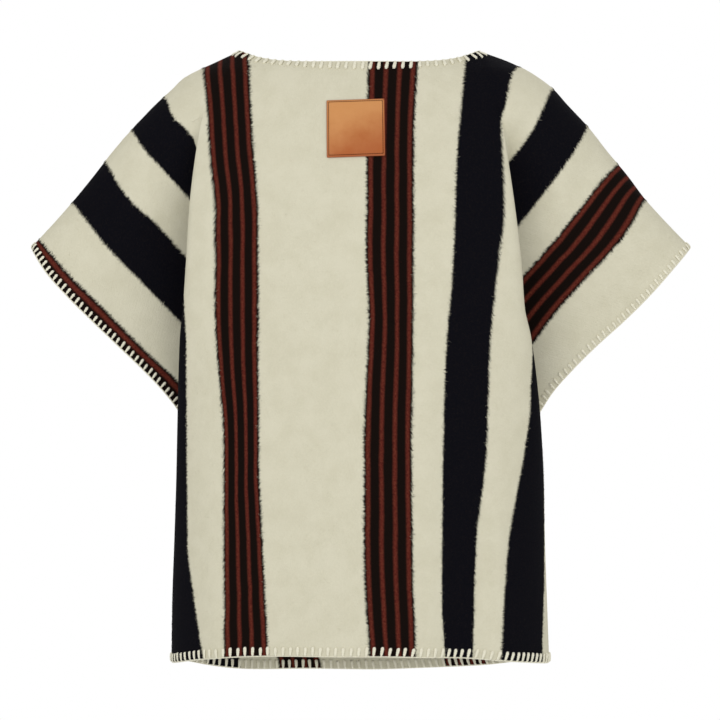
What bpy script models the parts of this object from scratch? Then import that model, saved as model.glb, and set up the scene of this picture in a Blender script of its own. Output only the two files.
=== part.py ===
"""Long poncho of thick brushed wool, filled out with no wearer.

Two T-shaped panels, front and back, are cut in one with their short wide sleeves and meet along
the shoulders, under the sleeves and down the sides. A square leather patch lies on the front.
Units are metres, +Z up. The front faces -Y. The origin is midway between the two neck corners,
on the shoulder line, where the garment is held.
"""
import math

import bpy
import numpy as np
from mathutils import Vector
from mathutils.bvhtree import BVHTree

for old in list(bpy.data.objects):
    bpy.data.objects.remove(old, do_unlink=True)

MM = 0.001

# Driving sizes
WALL = 2.5 * MM                 # thickness of the wool cloth
SEAM_GAP = 0.3 * MM             # clearance between two sewn pieces
NECK_LEFT = -162 * MM           # the two neck corners, x
NECK_RIGHT = 152 * MM
NECK_DIP = 18 * MM              # the neck edge lies this far below its corners
NECK_HALF_DEPTH = 58 * MM       # from the shoulder line forward to the neck edge
FRONT_LENGTH = 783 * MM         # origin to the middle of each hem
BACK_LENGTH = 820 * MM
SIDE_LENGTH = 797 * MM          # origin to the hem at the side seams
TIP_Z = -87 * MM                # where the armhole folds begin
UNDERARM_Z = -370 * MM
SLEEVE_END_Z = -484 * MM        # lowest corner of each cuff
SLEEVE_DEPTH_BODY = 80 * MM     # half thickness of the sleeve beside the body
SLEEVE_DEPTH_CUFF = 44 * MM     # and at the cuff
SLEEVE_CROWN = 95 * MM          # distance below the shoulder line where the sleeve is thickest
SLEEVE_HOLLOW = 0.22            # share by which the sleeve sinks in behind the armhole fold
HOLLOW_WIDTH = 45 * MM
HOLLOW_START = 25 * MM          # the hollow begins this far above the tip of the fold
HOLLOW_RUN = 70 * MM            # and is at its full depth this far further down
FOLD_ROUND_RUN = 80 * MM        # below its tip the body edge turns fully round over this height
TIP_SPREAD = 14 * MM            # near its tip the fold is only a soft step this wide
TIP_RUN = 60 * MM
SLEEVE_DROP = 320 * MM          # cloth from the shoulder line to the sleeve's lower seam
SEAM_ROUND = 24 * MM            # width over which a sleeve turns to its lower seam at the cuff
UNDERARM_ROUND = 70 * MM        # and at the underarm
PATCH_SIZE = 75 * MM
PATCH_THICK = 1.8 * MM
PATCH_GAP = 0.5 * MM            # over the cloth's flat faces, less over their ridges
PATCH_CENTRE = (-9.5 * MM, -103 * MM)
PATCH_TILT = math.radians(2.0)

# How finely the cloth is divided
BODY_COLUMNS = 20
FOLD_COLUMNS = 4
SLEEVE_COLUMNS = 6
TOP_ROWS = 4
ARMHOLE_ROWS = 6
CUFF_ROWS = 4
LOWER_SLEEVE_ROWS = 4
SKIRT_ROWS = 7

# Shoulder lines from the neck corner to the top of the cuff: z, x left, x right, in mm
SHOULDER = [
    (4, -162, 152),
    (-10, -192, 191),
    (-21, -215, 214),
    (-33, -237, 233),
    (-46, -250, 250),
    (-65, -271, 267),
    (-96, -301, 296),
    (-128, -329, 321),
    (-159, -353, 347),
    (-191, -379, 371),
    (-223, -407, 400),
    (-254, -436, 430),
]

# Cuff edges from the top corner to the bottom corner: z, x left, x right, in mm
CUFF = [
    (-254, -436, 430),
    (-287, -414, 401),
    (-317, -387, 374),
    (-350, -354, 341),
    (-381, -322, 307),
    (-412, -290, 276),
    (-444, -260, 248),
    (-466, -243, 234),
    (-484, -232, 223),
]

# Body edges: the armhole folds down to the underarm, the silhouettes below it, in mm
# z, x left, x right, depth of the edge, depth of the middle
FRONT_BODY = [
    (4, -162, 152, 0, 58),
    (-22, -175, 158, 46, 64),
    (-43, -188, 165, 61, 77),
    (-65, -198, 172, 69, 88),
    (-87, -207, 178, 74, 98),
    (-145, -217, 187, 88, 116),
    (-210, -224, 196, 96, 129),
    (-280, -228, 204, 98, 137),
    (-335, -232, 208, 94, 142),
    (-370, -236, 216, 86, 144),
    (-430, -239, 225, 68, 146),
    (-490, -241, 231, 54, 148),
    (-560, -243, 235, 42, 150),
    (-640, -246, 237, 32, 152),
    (-720, -249, 240, 25, 154),
    (-797, -250, 243, 20, 156),
]
BACK_BODY = [
    (4, -162, 152, 0, 58),
    (-22, -173, 157, 48, 68),
    (-43, -184, 162, 63, 82),
    (-65, -193, 167, 71, 94),
    (-87, -200, 172, 75, 103),
    (-145, -210, 180, 88, 116),
    (-210, -216, 188, 95, 124),
    (-280, -221, 195, 96, 131),
    (-335, -225, 200, 92, 138),
    (-370, -229, 208, 84, 142),
    (-430, -233, 218, 66, 148),
    (-490, -236, 225, 52, 153),
    (-560, -239, 230, 41, 157),
    (-640, -243, 234, 32, 161),
    (-720, -247, 238, 26, 164),
    (-797, -249, 242, 21, 166),
]

# Inner edge of each armhole fold, from its tip to the underarm: z, x left, x right, depth, in mm
INNER_FOLD = [
    (-87, -207, 178, 74),
    (-115, -212, 183, 74),
    (-145, -199, 172, 74),
    (-175, -184, 160, 73),
    (-210, -169, 148, 68),
    (-280, -149, 130, 48),
    (-335, -143, 122, 22),
    (-370, -141, 121, 0),
]

# Side seams of the body below the underarm: z, x left, x right, in mm
SIDE_SEAM = [
    (-370, -141, 121),
    (-397, -146, 126),
    (-424, -160, 141),
    (-451, -178, 160),
    (-478, -192, 176),
    (-505, -204, 189),
    (-547, -222, 208),
    (-590, -235, 221),
    (-660, -243, 233),
    (-797, -249, 242),
]

# Lower seams of the sleeves: z, x left, x right, in mm
SLEEVE_SEAM = [
    (-370, -141, 121),
    (-397, -177, 158),
    (-424, -197, 181),
    (-451, -209, 196),
    (-484, -218, 209),
]

# Soft flutes that deepen towards the hem: x, depth, half width, in mm
FRONT_FLUTES = [
    (-190, 7, 26),
    (-95, -6, 42),
    (70, 7, 36),
    (128, -8, 26),
    (186, 6, 26),
]
BACK_FLUTES = [
    (-170, -8, 34),
    (-80, 9, 38),
    (10, -7, 34),
    (95, 9, 36),
    (175, -7, 32),
]
FLUTE_TOP = -430 * MM


def smooth_column(table, column):
    """Return a smooth function of z through one column of a table whose first column is z."""
    rows = sorted(table)
    knots = np.array([row[0] for row in rows]) * MM
    values = np.array([row[column] for row in rows]) * MM
    steps = np.diff(knots)
    slopes = np.diff(values) / steps
    tangents = np.empty_like(values)
    tangents[0] = slopes[0]
    tangents[-1] = slopes[-1]
    for i in range(1, len(values) - 1):
        before, after = slopes[i - 1], slopes[i]
        tangents[i] = 0.0 if before * after <= 0 else 2 * before * after / (before + after)

    def value(z):
        z = min(max(z, knots[0]), knots[-1])
        i = min(int(np.searchsorted(knots, z, side="right")) - 1, len(steps) - 1)
        t = (z - knots[i]) / steps[i]
        rise = (2 * t - 3) * t * t
        return (
            (1 + rise) * values[i]
            - rise * values[i + 1]
            + (t - 1) ** 2 * t * steps[i] * tangents[i]
            + (t - 1) * t * t * steps[i] * tangents[i + 1]
        )

    return value


def bezier(p0, p1, p2, p3, count):
    """Points along a cubic curve, both ends included."""
    points = []
    for t in np.linspace(0.0, 1.0, count + 1):
        a, b, c, d = (1 - t) ** 3, 3 * t * (1 - t) ** 2, 3 * t * t * (1 - t), t ** 3
        points.append(tuple(a * p0[i] + b * p1[i] + c * p2[i] + d * p3[i] for i in range(2)))
    return points


class Side:
    """The lines that bound the left (-1) or the right (+1) half of a panel."""

    def __init__(self, sign, body_table):
        column = 1 if sign < 0 else 2
        self.sign = sign
        self.shoulder = smooth_column(SHOULDER, column)
        self.cuff = smooth_column(CUFF, column)
        self.edge = smooth_column(body_table, column)
        self.inner = smooth_column(INNER_FOLD, column)
        self.seam = smooth_column(SIDE_SEAM, column)
        self.sleeve_seam = smooth_column(SLEEVE_SEAM, column)
        heights = np.linspace(SHOULDER[0][0], SHOULDER[-1][0], 160) * MM
        self.line = np.array([(self.shoulder(z), z) for z in heights])
        steps = np.hypot(*np.diff(self.line, axis=0).T)
        self.along = np.concatenate([[0.0], np.cumsum(steps)])

    def outer(self, z):
        """Outer boundary of the sleeve at this height: the shoulder line, then the cuff edge."""
        return self.shoulder(z) if z > CUFF[0][0] * MM else self.cuff(z)

    def sleeve_depth(self, x, z):
        """Half thickness of the hanging sleeve, a teardrop below the shoulder line."""
        gaps = np.hypot(self.line[:, 0] - x, self.line[:, 1] - z)
        nearest = int(np.argmin(gaps))
        below = gaps[nearest]
        share = min(max((self.along[nearest] - 0.09) / (self.along[-1] - 0.09), 0.0), 1.0)
        crown = SLEEVE_DEPTH_BODY + share * (SLEEVE_DEPTH_CUFF - SLEEVE_DEPTH_BODY)
        if below < SLEEVE_CROWN:
            depth = crown * math.sqrt(max(1 - (1 - below / SLEEVE_CROWN) ** 2, 0.0))
        else:
            fall = (below - SLEEVE_CROWN) / (SLEEVE_DROP - SLEEVE_CROWN)
            depth = crown * (1 - 0.72 * min(fall, 1.0) ** 1.1)
        return depth * (1 - self.hollow(x, z) * min(below / SLEEVE_CROWN, 1.0))

    def hollow(self, x, z):
        """Share by which the sleeve sinks in beside and behind the armhole fold."""
        start = TIP_Z + HOLLOW_START
        grown = min(max((start - z) / HOLLOW_RUN, 0.0), 1.0)
        away = max(self.sign * (x - self.edge(z)), 0.0)
        return SLEEVE_HOLLOW * grown * grown * (3 - 2 * grown) * math.exp(-(away / HOLLOW_WIDTH) ** 2)


class Panel:
    """One cloth panel as a surface of points, later thickened to a closed wall."""

    def __init__(self, facing, body_table, flutes, length):
        self.facing = facing
        self.flutes = flutes
        self.length = length
        self.left = Side(-1, body_table)
        self.right = Side(1, body_table)
        self.edge_depth = smooth_column(body_table, 3)
        self.middle_depth = smooth_column(body_table, 4)
        self.inner_depth = smooth_column(INNER_FOLD, 3)
        self.points = []
        self.faces = []
        self.seam_points = set()
        self.underarms = {}

    def add(self, x, depth, z, seam=False):
        """Add a point and return its number. Depth runs outward from the shoulder plane."""
        depth = max(depth, SEAM_GAP / 2)
        self.points.append(Vector((x, self.facing * depth, z)))
        number = len(self.points) - 1
        if seam:
            self.seam_points.add(number)
        return number

    def flute(self, x, z):
        """Depth that the soft folds of the skirt add."""
        share = min(max((FLUTE_TOP - z) / (FLUTE_TOP + SIDE_LENGTH), 0.0), 1.0)
        total = 0.0
        for centre, depth, width in self.flutes:
            total += depth * MM * math.exp(-((x / MM - centre) / width) ** 2)
        return total * share ** 1.3

    def body_depth(self, x, z):
        """Depth of the body cloth between its two edges."""
        left, right = self.left.edge(z), self.right.edge(z)
        across = (2 * x - left - right) / (right - left)
        rest = max(1 - abs(across) ** 2.2, 0.0)
        edge, middle = self.edge_depth(z), self.middle_depth(z)
        turned = min(max((TIP_Z - z) / FOLD_ROUND_RUN, 0.0), 1.0)
        bulge = rest ** (1 - 0.5 * turned)
        return edge + (middle - edge) * bulge + self.flute(x, z) * min(4 * rest, 1.0)

    def hem_shift(self, across, z):
        """The hem runs from its length at the side seams to the panel's own in the middle."""
        share = min(max((SLEEVE_END_Z - z) / (SLEEVE_END_Z + SIDE_LENGTH), 0.0), 1.0)
        return share * (SIDE_LENGTH - self.length) * (1 - abs(across) ** 2.6)

    def body_row(self, z):
        """Body points from the left edge to the right edge at one height."""
        left, right = self.left.edge(z), self.right.edge(z)
        numbers = []
        for step in np.linspace(-1.0, 1.0, BODY_COLUMNS + 1):
            across = math.sin(step * math.pi / 2)
            x = (left + right) / 2 + across * (right - left) / 2
            numbers.append(self.add(x, self.body_depth(x, z), z + self.hem_shift(across, z)))
        return numbers

    def neck_row(self):
        """Top edge of the body, the neckline, between the two neck corners."""
        top = SHOULDER[0][0] * MM
        numbers = []
        for step in np.linspace(-1.0, 1.0, BODY_COLUMNS + 1):
            across = math.sin(step * math.pi / 2)
            x = (NECK_LEFT + NECK_RIGHT) / 2 + across * (NECK_RIGHT - NECK_LEFT) / 2
            hollow = 1 - abs(across) ** 5
            depth = NECK_HALF_DEPTH * math.sqrt(max(1 - across * across, 0.0))
            corner = abs(step) == 1.0
            numbers.append(self.add(x, depth, top - NECK_DIP * hollow, corner))
        return numbers

    def sleeve_row(self, side, start, z):
        """Sleeve points from beside the body out to the shoulder line or the cuff edge."""
        first = self.points[start].x
        last = side.outer(z)
        on_seam = z > CUFF[0][0] * MM - SEAM_GAP
        numbers = []
        for step in range(1, SLEEVE_COLUMNS + 1):
            share = step / SLEEVE_COLUMNS
            share = math.sin(share * math.pi / 2) if on_seam else share
            x = first + (last - first) * share
            end = step == SLEEVE_COLUMNS and on_seam
            numbers.append(self.add(x, 0.0 if end else side.sleeve_depth(x, z), z, end))
        return numbers

    def shoulder_row(self, side, start):
        """First row of the sleeve, along the shoulder line from the neck corner."""
        top = self.points[start].z
        low = SHOULDER[0][0] * MM - NECK_DIP
        numbers = []
        for step in range(1, SLEEVE_COLUMNS + 1):
            z = top + (low - top) * step / SLEEVE_COLUMNS
            numbers.append(self.add(side.shoulder(z), 0.0, z, True))
        return numbers

    def fold_rows(self, side, edge, z):
        """The armhole fold: under the body edge to its inner edge, then out to the sleeve."""
        x_edge, y_edge = self.points[edge].x, self.edge_depth(z)
        x_inner, y_inner = side.inner(z), self.inner_depth(z)
        x_inner = side.sign * min(side.sign * x_inner, side.sign * x_edge)
        turn = y_edge - y_inner
        under = bezier(
            (x_edge, y_edge),
            (x_edge, y_edge - 0.55 * turn),
            (x_inner, y_inner + 0.45 * turn),
            (x_inner, y_inner),
            FOLD_COLUMNS,
        )
        x_out = x_edge + side.sign * TIP_SPREAD * max(1 - (TIP_Z - z) / TIP_RUN, 0.0)
        y_out = side.sleeve_depth(x_out, z)
        x_part = x_out + 0.4 * (x_inner - x_out)
        out = bezier(
            (x_inner, y_inner),
            (x_inner, y_inner - 0.5 * max(y_inner - y_out, 0.0)),
            (x_part, side.sleeve_depth(x_part, z)),
            (x_out, y_out),
            FOLD_COLUMNS,
        )
        at_underarm = z <= UNDERARM_Z + 1e-9
        body = [edge] + [self.add(x, y, z) for x, y in under[1:-1]]
        inner = self.add(x_inner, y_inner, z, at_underarm)
        sleeve = [inner] + [self.add(x, y, z) for x, y in out[1:]]
        if at_underarm:
            self.underarms[inner] = side
        return body + [inner], sleeve

    def side_row(self, side, edge, z, z_edge):
        """Below the underarm: from the silhouette back to the side seam."""
        x_edge, y_edge = self.points[edge].x, self.edge_depth(z)
        x_seam = side.seam(z)
        under = bezier(
            (x_edge, y_edge),
            (x_edge, 0.5 * y_edge),
            (x_seam, 0.45 * y_edge),
            (x_seam, 0.0),
            FOLD_COLUMNS,
        )
        body = [self.add(x, y, z_edge) for x, y in under[1:-1]]
        return [edge] + body + [self.add(x_seam, 0.0, z_edge, True)]

    def lower_sleeve_row(self, side, z):
        """Below the underarm: the sleeve from its lower seam out to the cuff edge."""
        x_seam, x_cuff = side.sleeve_seam(z), side.cuff(z)
        x_part = (x_seam + x_cuff) / 2
        lower = (UNDERARM_Z - z) / (UNDERARM_Z - SLEEVE_END_Z)
        round_width = UNDERARM_ROUND + lower * (SEAM_ROUND - UNDERARM_ROUND)
        inner = [self.add(x_seam, 0.0, z, True)]
        shares = [1 - math.cos(i / FOLD_COLUMNS * math.pi / 2) for i in range(1, FOLD_COLUMNS + 1)]
        places = [x_seam + (x_part - x_seam) * share for share in shares]
        places += [x_part + (x_cuff - x_part) * i / SLEEVE_COLUMNS for i in range(1, SLEEVE_COLUMNS + 1)]
        for x in places:
            turn = min(abs(x - x_seam) / round_width, 1.0)
            round_off = 1 - (1 - turn) ** 2
            inner.append(self.add(x, side.sleeve_depth(x, z) * round_off, z))
        return inner

    def build(self):
        """Make every row, then the faces between neighbouring rows."""
        body = [self.neck_row()]
        left = [self.shoulder_row(self.left, body[0][0])]
        right = [self.shoulder_row(self.right, body[0][-1])]
        collapsed = FOLD_COLUMNS
        strips = [self.full_row(body[0], left[0], right[0], collapsed)]
        low = SHOULDER[0][0] * MM - NECK_DIP
        for z in np.linspace(low, TIP_Z, TOP_ROWS + 1)[1:]:
            row = self.body_row(z)
            strips.append(
                self.full_row(
                    row,
                    self.sleeve_row(self.left, row[0], z),
                    self.sleeve_row(self.right, row[-1], z),
                    collapsed,
                )
            )
        cuff_top = CUFF[0][0] * MM
        beside_shoulder = np.linspace(TIP_Z, cuff_top, ARMHOLE_ROWS + 1)[1:]
        beside_cuff = np.linspace(cuff_top, UNDERARM_Z, CUFF_ROWS + 1)[1:]
        for z in np.concatenate([beside_shoulder, beside_cuff]):
            row = self.body_row(z)
            under_left, out_left = self.fold_rows(self.left, row[0], z)
            under_right, out_right = self.fold_rows(self.right, row[-1], z)
            out_left += self.sleeve_row(self.left, out_left[-1], z)
            out_right += self.sleeve_row(self.right, out_right[-1], z)
            strips.append((out_left, under_left[::-1] + row[1:-1] + under_right, out_right))
        for z in np.linspace(UNDERARM_Z, SLEEVE_END_Z, LOWER_SLEEVE_ROWS + 1)[1:]:
            strips.append(
                (
                    self.lower_sleeve_row(self.left, z),
                    self.skirt_row(z),
                    self.lower_sleeve_row(self.right, z),
                )
            )
        for z in np.linspace(SLEEVE_END_Z, -SIDE_LENGTH, SKIRT_ROWS + 1)[1:]:
            strips.append((None, self.skirt_row(z), None))
        for above, below in zip(strips, strips[1:]):
            for upper, lower, flip in zip(above, below, (True, False, False)):
                if upper and lower:
                    self.join(upper, lower, flip)

    def skirt_row(self, z):
        """One full body row below the underarm, from side seam to side seam."""
        row = self.body_row(z)
        under_left = self.side_row(self.left, row[0], z, self.points[row[0]].z)
        under_right = self.side_row(self.right, row[-1], z, self.points[row[-1]].z)
        return under_left[::-1] + row[1:-1] + under_right

    def full_row(self, row, left, right, collapsed):
        """A row above the armhole folds, where the fold's columns have no width."""
        left_edge, right_edge = [row[0]] * collapsed, [row[-1]] * collapsed
        return (
            left_edge + [row[0]] + left,
            left_edge + row + right_edge,
            right_edge + [row[-1]] + right,
        )

    def join(self, upper, lower, flip):
        """Faces between two rows. A strip that runs outward to the left is turned over."""
        for j in range(len(upper) - 1):
            corners = [upper[j], lower[j], lower[j + 1], upper[j + 1]]
            corners = [c for i, c in enumerate(corners) if c != corners[i - 1]]
            if len(set(corners)) < 3:
                continue
            if flip != (self.facing > 0):
                corners.reverse()
            self.faces += self.triangles(corners)

    def triangles(self, corners):
        """Split a four-sided face along its shorter diagonal."""
        if len(corners) == 3:
            return [corners]
        a, b, c, d = corners
        points = self.points
        if (points[a] - points[c]).length < (points[b] - points[d]).length:
            return [[a, b, c], [a, c, d]]
        return [[a, b, d], [b, c, d]]

    def normals(self):
        """Outward direction at each point, long enough to keep the wall's thickness in a bend."""
        sums = [Vector((0, 0, 0)) for _ in self.points]
        around = [[] for _ in self.points]
        for face in self.faces:
            corners = [self.points[i] for i in face]
            normal = Vector((0, 0, 0))
            for i, corner in enumerate(corners):
                normal += corner.cross(corners[(i + 1) % len(corners)])
            normal.normalize()
            for i, number in enumerate(face):
                here = corners[i]
                a = corners[i - 1] - here
                b = corners[(i + 1) % len(face)] - here
                sums[number] += normal * a.angle(b, 0.0)
                around[number].append(normal)
        result = []
        for number, total in enumerate(sums):
            if number in self.underarms:
                result.append(self.underarm_normal(self.underarms[number]))
                continue
            if number in self.seam_points:
                total.y = 0.0
            total.normalize()
            facing = sum(max(total.dot(n), 0.0) for n in around[number]) / len(around[number])
            result.append(total / max(facing, 0.6))
        return result

    def underarm_normal(self, side):
        """At the underarm the wall points between the two seams that leave it."""
        z = UNDERARM_Z + (SLEEVE_END_Z - UNDERARM_Z) / LOWER_SLEEVE_ROWS
        start = Vector((side.inner(UNDERARM_Z), 0, UNDERARM_Z))
        down = (Vector((side.seam(z), 0, z)) - start).normalized()
        out = (Vector((side.sleeve_seam(z), 0, z)) - start).normalized()
        middle = (down + out).normalized()
        return middle / max(math.sin(down.angle(out) / 2), 0.4)

    def keep_clear(self, point):
        """Hold a point on its own side of the plane in which the two panels meet."""
        point.y = self.facing * max(self.facing * point.y, SEAM_GAP / 2)
        return point

    def wall(self, name, material):
        """The closed solid: the surface moved half a wall out and half a wall in."""
        count = len(self.points)
        normals = self.normals()
        outside = [self.keep_clear(p + n * (WALL / 2)) for p, n in zip(self.points, normals)]
        inside = [self.keep_clear(p - n * (WALL / 2)) for p, n in zip(self.points, normals)]
        faces = [tuple(face) for face in self.faces]
        edges = set()
        for face in self.faces:
            for i, number in enumerate(face):
                edges.add((number, face[(i + 1) % len(face)]))
        faces += [tuple(count + i for i in reversed(face)) for face in self.faces]
        faces += [(b, a, count + a, count + b) for a, b in sorted(edges) if (b, a) not in edges]
        mesh = bpy.data.meshes.new(name)
        mesh.from_pydata(outside + inside, [], faces)
        mesh.validate()
        return finish_solid(mesh, name, material)


def finish_solid(mesh, name, material):
    """Put a mesh in the scene as a smooth-shaded solid."""
    mesh.materials.append(material)
    mesh.shade_smooth()
    mesh.set_sharp_from_angle(angle=math.radians(50))
    solid = bpy.data.objects.new(name, mesh)
    bpy.context.scene.collection.objects.link(solid)
    return solid


def make_material(name, colour, roughness):
    """A plain surface with the real piece's colour."""
    material = bpy.data.materials.new(name)
    material.use_nodes = True
    shader = material.node_tree.nodes["Principled BSDF"]
    shader.inputs["Base Color"].default_value = (*colour, 1.0)
    shader.inputs["Roughness"].default_value = roughness
    shader.inputs["Metallic"].default_value = 0.0
    return material


def leather_patch(carrier, material):
    """The square patch, made from the front panel's outer points, moved out."""
    tree = BVHTree.FromObject(carrier, bpy.context.evaluated_depsgraph_get())
    cells = 12
    front, back = [], []
    for row in range(cells + 1):
        for column in range(cells + 1):
            across = (column / cells - 0.5) * PATCH_SIZE
            down = (row / cells - 0.5) * PATCH_SIZE
            x = PATCH_CENTRE[0] + across * math.cos(PATCH_TILT) + down * math.sin(PATCH_TILT)
            z = PATCH_CENTRE[1] + across * math.sin(PATCH_TILT) - down * math.cos(PATCH_TILT)
            hit, normal, _, _ = tree.ray_cast(Vector((x, -1.0, z)), Vector((0, 1, 0)))
            back.append(hit + normal * PATCH_GAP)
            front.append(hit + normal * (PATCH_GAP + PATCH_THICK))
    count = len(front)
    wide = cells + 1
    faces = []
    for row in range(cells):
        for column in range(cells):
            a = row * wide + column
            quad = (a, a + wide, a + wide + 1, a + 1)
            faces.append(quad)
            faces.append(tuple(count + i for i in reversed(quad)))
    rim = [column for column in range(wide)]
    rim += [row * wide + cells for row in range(1, wide)]
    rim += [cells * wide + column for column in range(cells - 1, -1, -1)]
    rim += [row * wide for row in range(cells - 1, 0, -1)]
    for a, b in zip(rim, rim[1:] + rim[:1]):
        faces.append((a, b, count + b, count + a))
    mesh = bpy.data.meshes.new("leather_patch")
    mesh.from_pydata(front + back, [], faces)
    return finish_solid(mesh, "leather_patch", material)


wool = make_material("cream_wool", (0.66, 0.63, 0.50), 0.95)
dark_wool = make_material("back_wool", (0.60, 0.57, 0.46), 0.95)
leather = make_material("tan_leather", (0.55, 0.25, 0.09), 0.55)

front = Panel(-1, FRONT_BODY, FRONT_FLUTES, FRONT_LENGTH)
front.build()
front_panel = front.wall("front_panel", wool)

back = Panel(1, BACK_BODY, BACK_FLUTES, BACK_LENGTH)
back.build()
back_panel = back.wall("back_panel", dark_wool)

bpy.context.view_layer.update()
leather_patch(front_panel, leather)
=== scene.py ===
"""Long poncho of thick striped wool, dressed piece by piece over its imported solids.

Units are metres, +Z up, the front faces -Y. The origin is on the shoulder line, midway between
the two neck corners. Tables that say so are in millimetres.
"""
import math
import random

import bpy
import numpy as np
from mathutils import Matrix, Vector, noise
from mathutils.bvhtree import BVHTree


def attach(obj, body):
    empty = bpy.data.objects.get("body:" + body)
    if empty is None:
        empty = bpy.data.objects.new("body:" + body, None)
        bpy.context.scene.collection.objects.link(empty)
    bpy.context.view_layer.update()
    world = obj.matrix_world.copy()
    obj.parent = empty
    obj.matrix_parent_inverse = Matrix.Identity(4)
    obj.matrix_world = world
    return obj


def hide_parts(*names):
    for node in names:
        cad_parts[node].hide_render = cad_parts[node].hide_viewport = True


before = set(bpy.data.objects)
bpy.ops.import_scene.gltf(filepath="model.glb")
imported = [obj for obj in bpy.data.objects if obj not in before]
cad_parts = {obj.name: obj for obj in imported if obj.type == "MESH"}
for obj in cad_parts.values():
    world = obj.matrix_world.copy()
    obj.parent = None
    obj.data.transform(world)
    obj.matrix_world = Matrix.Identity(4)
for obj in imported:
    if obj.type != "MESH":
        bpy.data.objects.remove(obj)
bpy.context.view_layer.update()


# Front panel
# A T-shaped piece of thick milled wool, woven in stripes and brushed on both faces. It is cut in
# one with the front half of both short sleeves, and is sewn to the back panel along the
# shoulders, under the sleeves and down the sides.
MM = 0.001
WALL = 2.5 * MM                 # thickness of the wool cloth
SEAM_GAP = 0.05 * MM            # clearance between the two sewn panels
NECK_LEFT = -162 * MM           # the two neck corners, x
NECK_RIGHT = 152 * MM
NECK_DIP = 18 * MM              # the neck edge lies this far below its corners
NECK_HALF_DEPTH = 58 * MM       # from the shoulder line forward to the neck edge
FRONT_LENGTH = 780 * MM         # origin to the cloth's edge in the middle of the front hem
SIDE_LENGTH = 797 * MM          # origin to the hem at the side seams
HEM_TURN_LEFT = 4.5             # the hem stays level, then turns close to the left side
HEM_TURN_RIGHT = 2.6            # and more slowly towards the right one
TIP_Z = -87 * MM                # where the armhole folds begin
UNDERARM_Z = -370 * MM
SLEEVE_END_Z = -484 * MM        # lowest corner of each cuff
SLEEVE_DEPTH_BODY = 80 * MM     # half thickness of the sleeve beside the body
SLEEVE_DEPTH_CUFF = 44 * MM     # and at the cuff
SLEEVE_CROWN = 95 * MM          # distance below the shoulder line where the sleeve is thickest
SLEEVE_THIN_START = 90 * MM     # it thins towards the cuff from this far along the shoulder line
SLEEVE_THINNING = 0.72          # share of its depth lost from the crown down to its lower seam
THINNING_TURN = 1.1             # above 1 the loss comes later
SLEEVE_HOLLOW = 0.22            # share by which the sleeve sinks in behind the armhole fold
HOLLOW_WIDTH = 45 * MM
HOLLOW_START = 25 * MM          # the hollow begins this far above the tip of the fold
HOLLOW_RUN = 70 * MM            # and is at its full depth this far further down
FOLD_ROUND_RUN = 80 * MM        # below its tip the body edge turns fully round over this height
TIP_SPREAD = 14 * MM            # near its tip the fold is only a soft step this wide
TIP_RUN = 60 * MM
SLEEVE_DROP = 320 * MM          # cloth from the shoulder line to the sleeve's lower seam
SEAM_ROUND = 24 * MM            # width over which a sleeve turns to its lower seam at the cuff
UNDERARM_ROUND = 70 * MM        # and at the underarm
CREASE_FADE = 45 * MM           # creases die away this close to a fold or a seam
CREASE_TAPER = 0.8              # below 1 a crease keeps its depth longer towards its ends
BODY_SQUARENESS = 2.2           # above 2 the body is flatter in the middle than an ellipse
EDGE_ROUNDING = 0.5             # how much fuller it turns at its edges below the fold's tip
EDGE_CALM = 4                   # folds and creases start this steeply inside the body's edges
NECK_SQUARENESS = 5             # the neckline is level, then rises close to its corners
FOLD_OVER = 0.55                # handles of the armhole fold: from the body's edge back,
FOLD_UNDER = 0.45               # forward from its inner edge,
FOLD_OUT = 0.5                  # back from its inner edge towards the sleeve,
FOLD_PART = 0.4                 # and from the sleeve towards the inner edge
SIDE_TURN = 0.5                 # handles of the curve from the silhouette to the side seam
SIDE_REACH = 0.45
DRAWN_OUT = 0.6                 # in a bend the wall reaches at most 1 / this of its half thickness
DRAWN_OUT_UNDERARM = 0.4        # and the same at the underarm
SHARP_ANGLE = math.radians(50)  # faces that meet more steeply show a hard edge

# Slight unevenness of milled cloth: mm across, mm down, mm deep, layer of noise
CLOTH_WAVES = [
    (70, 110, 1.5, 9),
    (24, 30, 0.5, 5),
]

# Easing of the yoke, where body and sleeve are one piece
EASE_END = 18 * MM              # it ends this far above the armhole folds
YOKE_ROUNDS = 10
YOKE_EASE = 0.6                 # share of the way to its neighbours that a point goes in a round

# How finely the cloth is divided
BODY_COLUMNS = 116
FOLD_COLUMNS = 12
SLEEVE_COLUMNS = 34
SHOULDER_CROWDING = 0.65        # how far the sleeve's columns crowd towards the shoulder line
TOP_ROWS = 12
ARMHOLE_ROWS = 28
CUFF_ROWS = 20
LOWER_SLEEVE_ROWS = 20
SKIRT_ROWS = 54
SHOULDER_STEPS = 160            # places measured along each shoulder line

# Shoulder lines from the neck corner to the top of the cuff: z, x left, x right, in mm
SHOULDER = [
    (4, -162, 152),
    (-10, -192, 191),
    (-21, -215, 214),
    (-33, -237, 233),
    (-46, -250, 250),
    (-65, -271, 267),
    (-96, -301, 296),
    (-128, -329, 321),
    (-159, -353, 347),
    (-191, -379, 371),
    (-223, -407, 400),
    (-254, -436, 430),
]

# Cuff edges from the top corner to the bottom corner: z, x left, x right, in mm
CUFF = [
    (-254, -436, 430),
    (-287, -414, 401),
    (-317, -387, 374),
    (-350, -354, 341),
    (-381, -322, 307),
    (-412, -290, 276),
    (-444, -260, 248),
    (-466, -243, 234),
    (-484, -232, 223),
]

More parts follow.
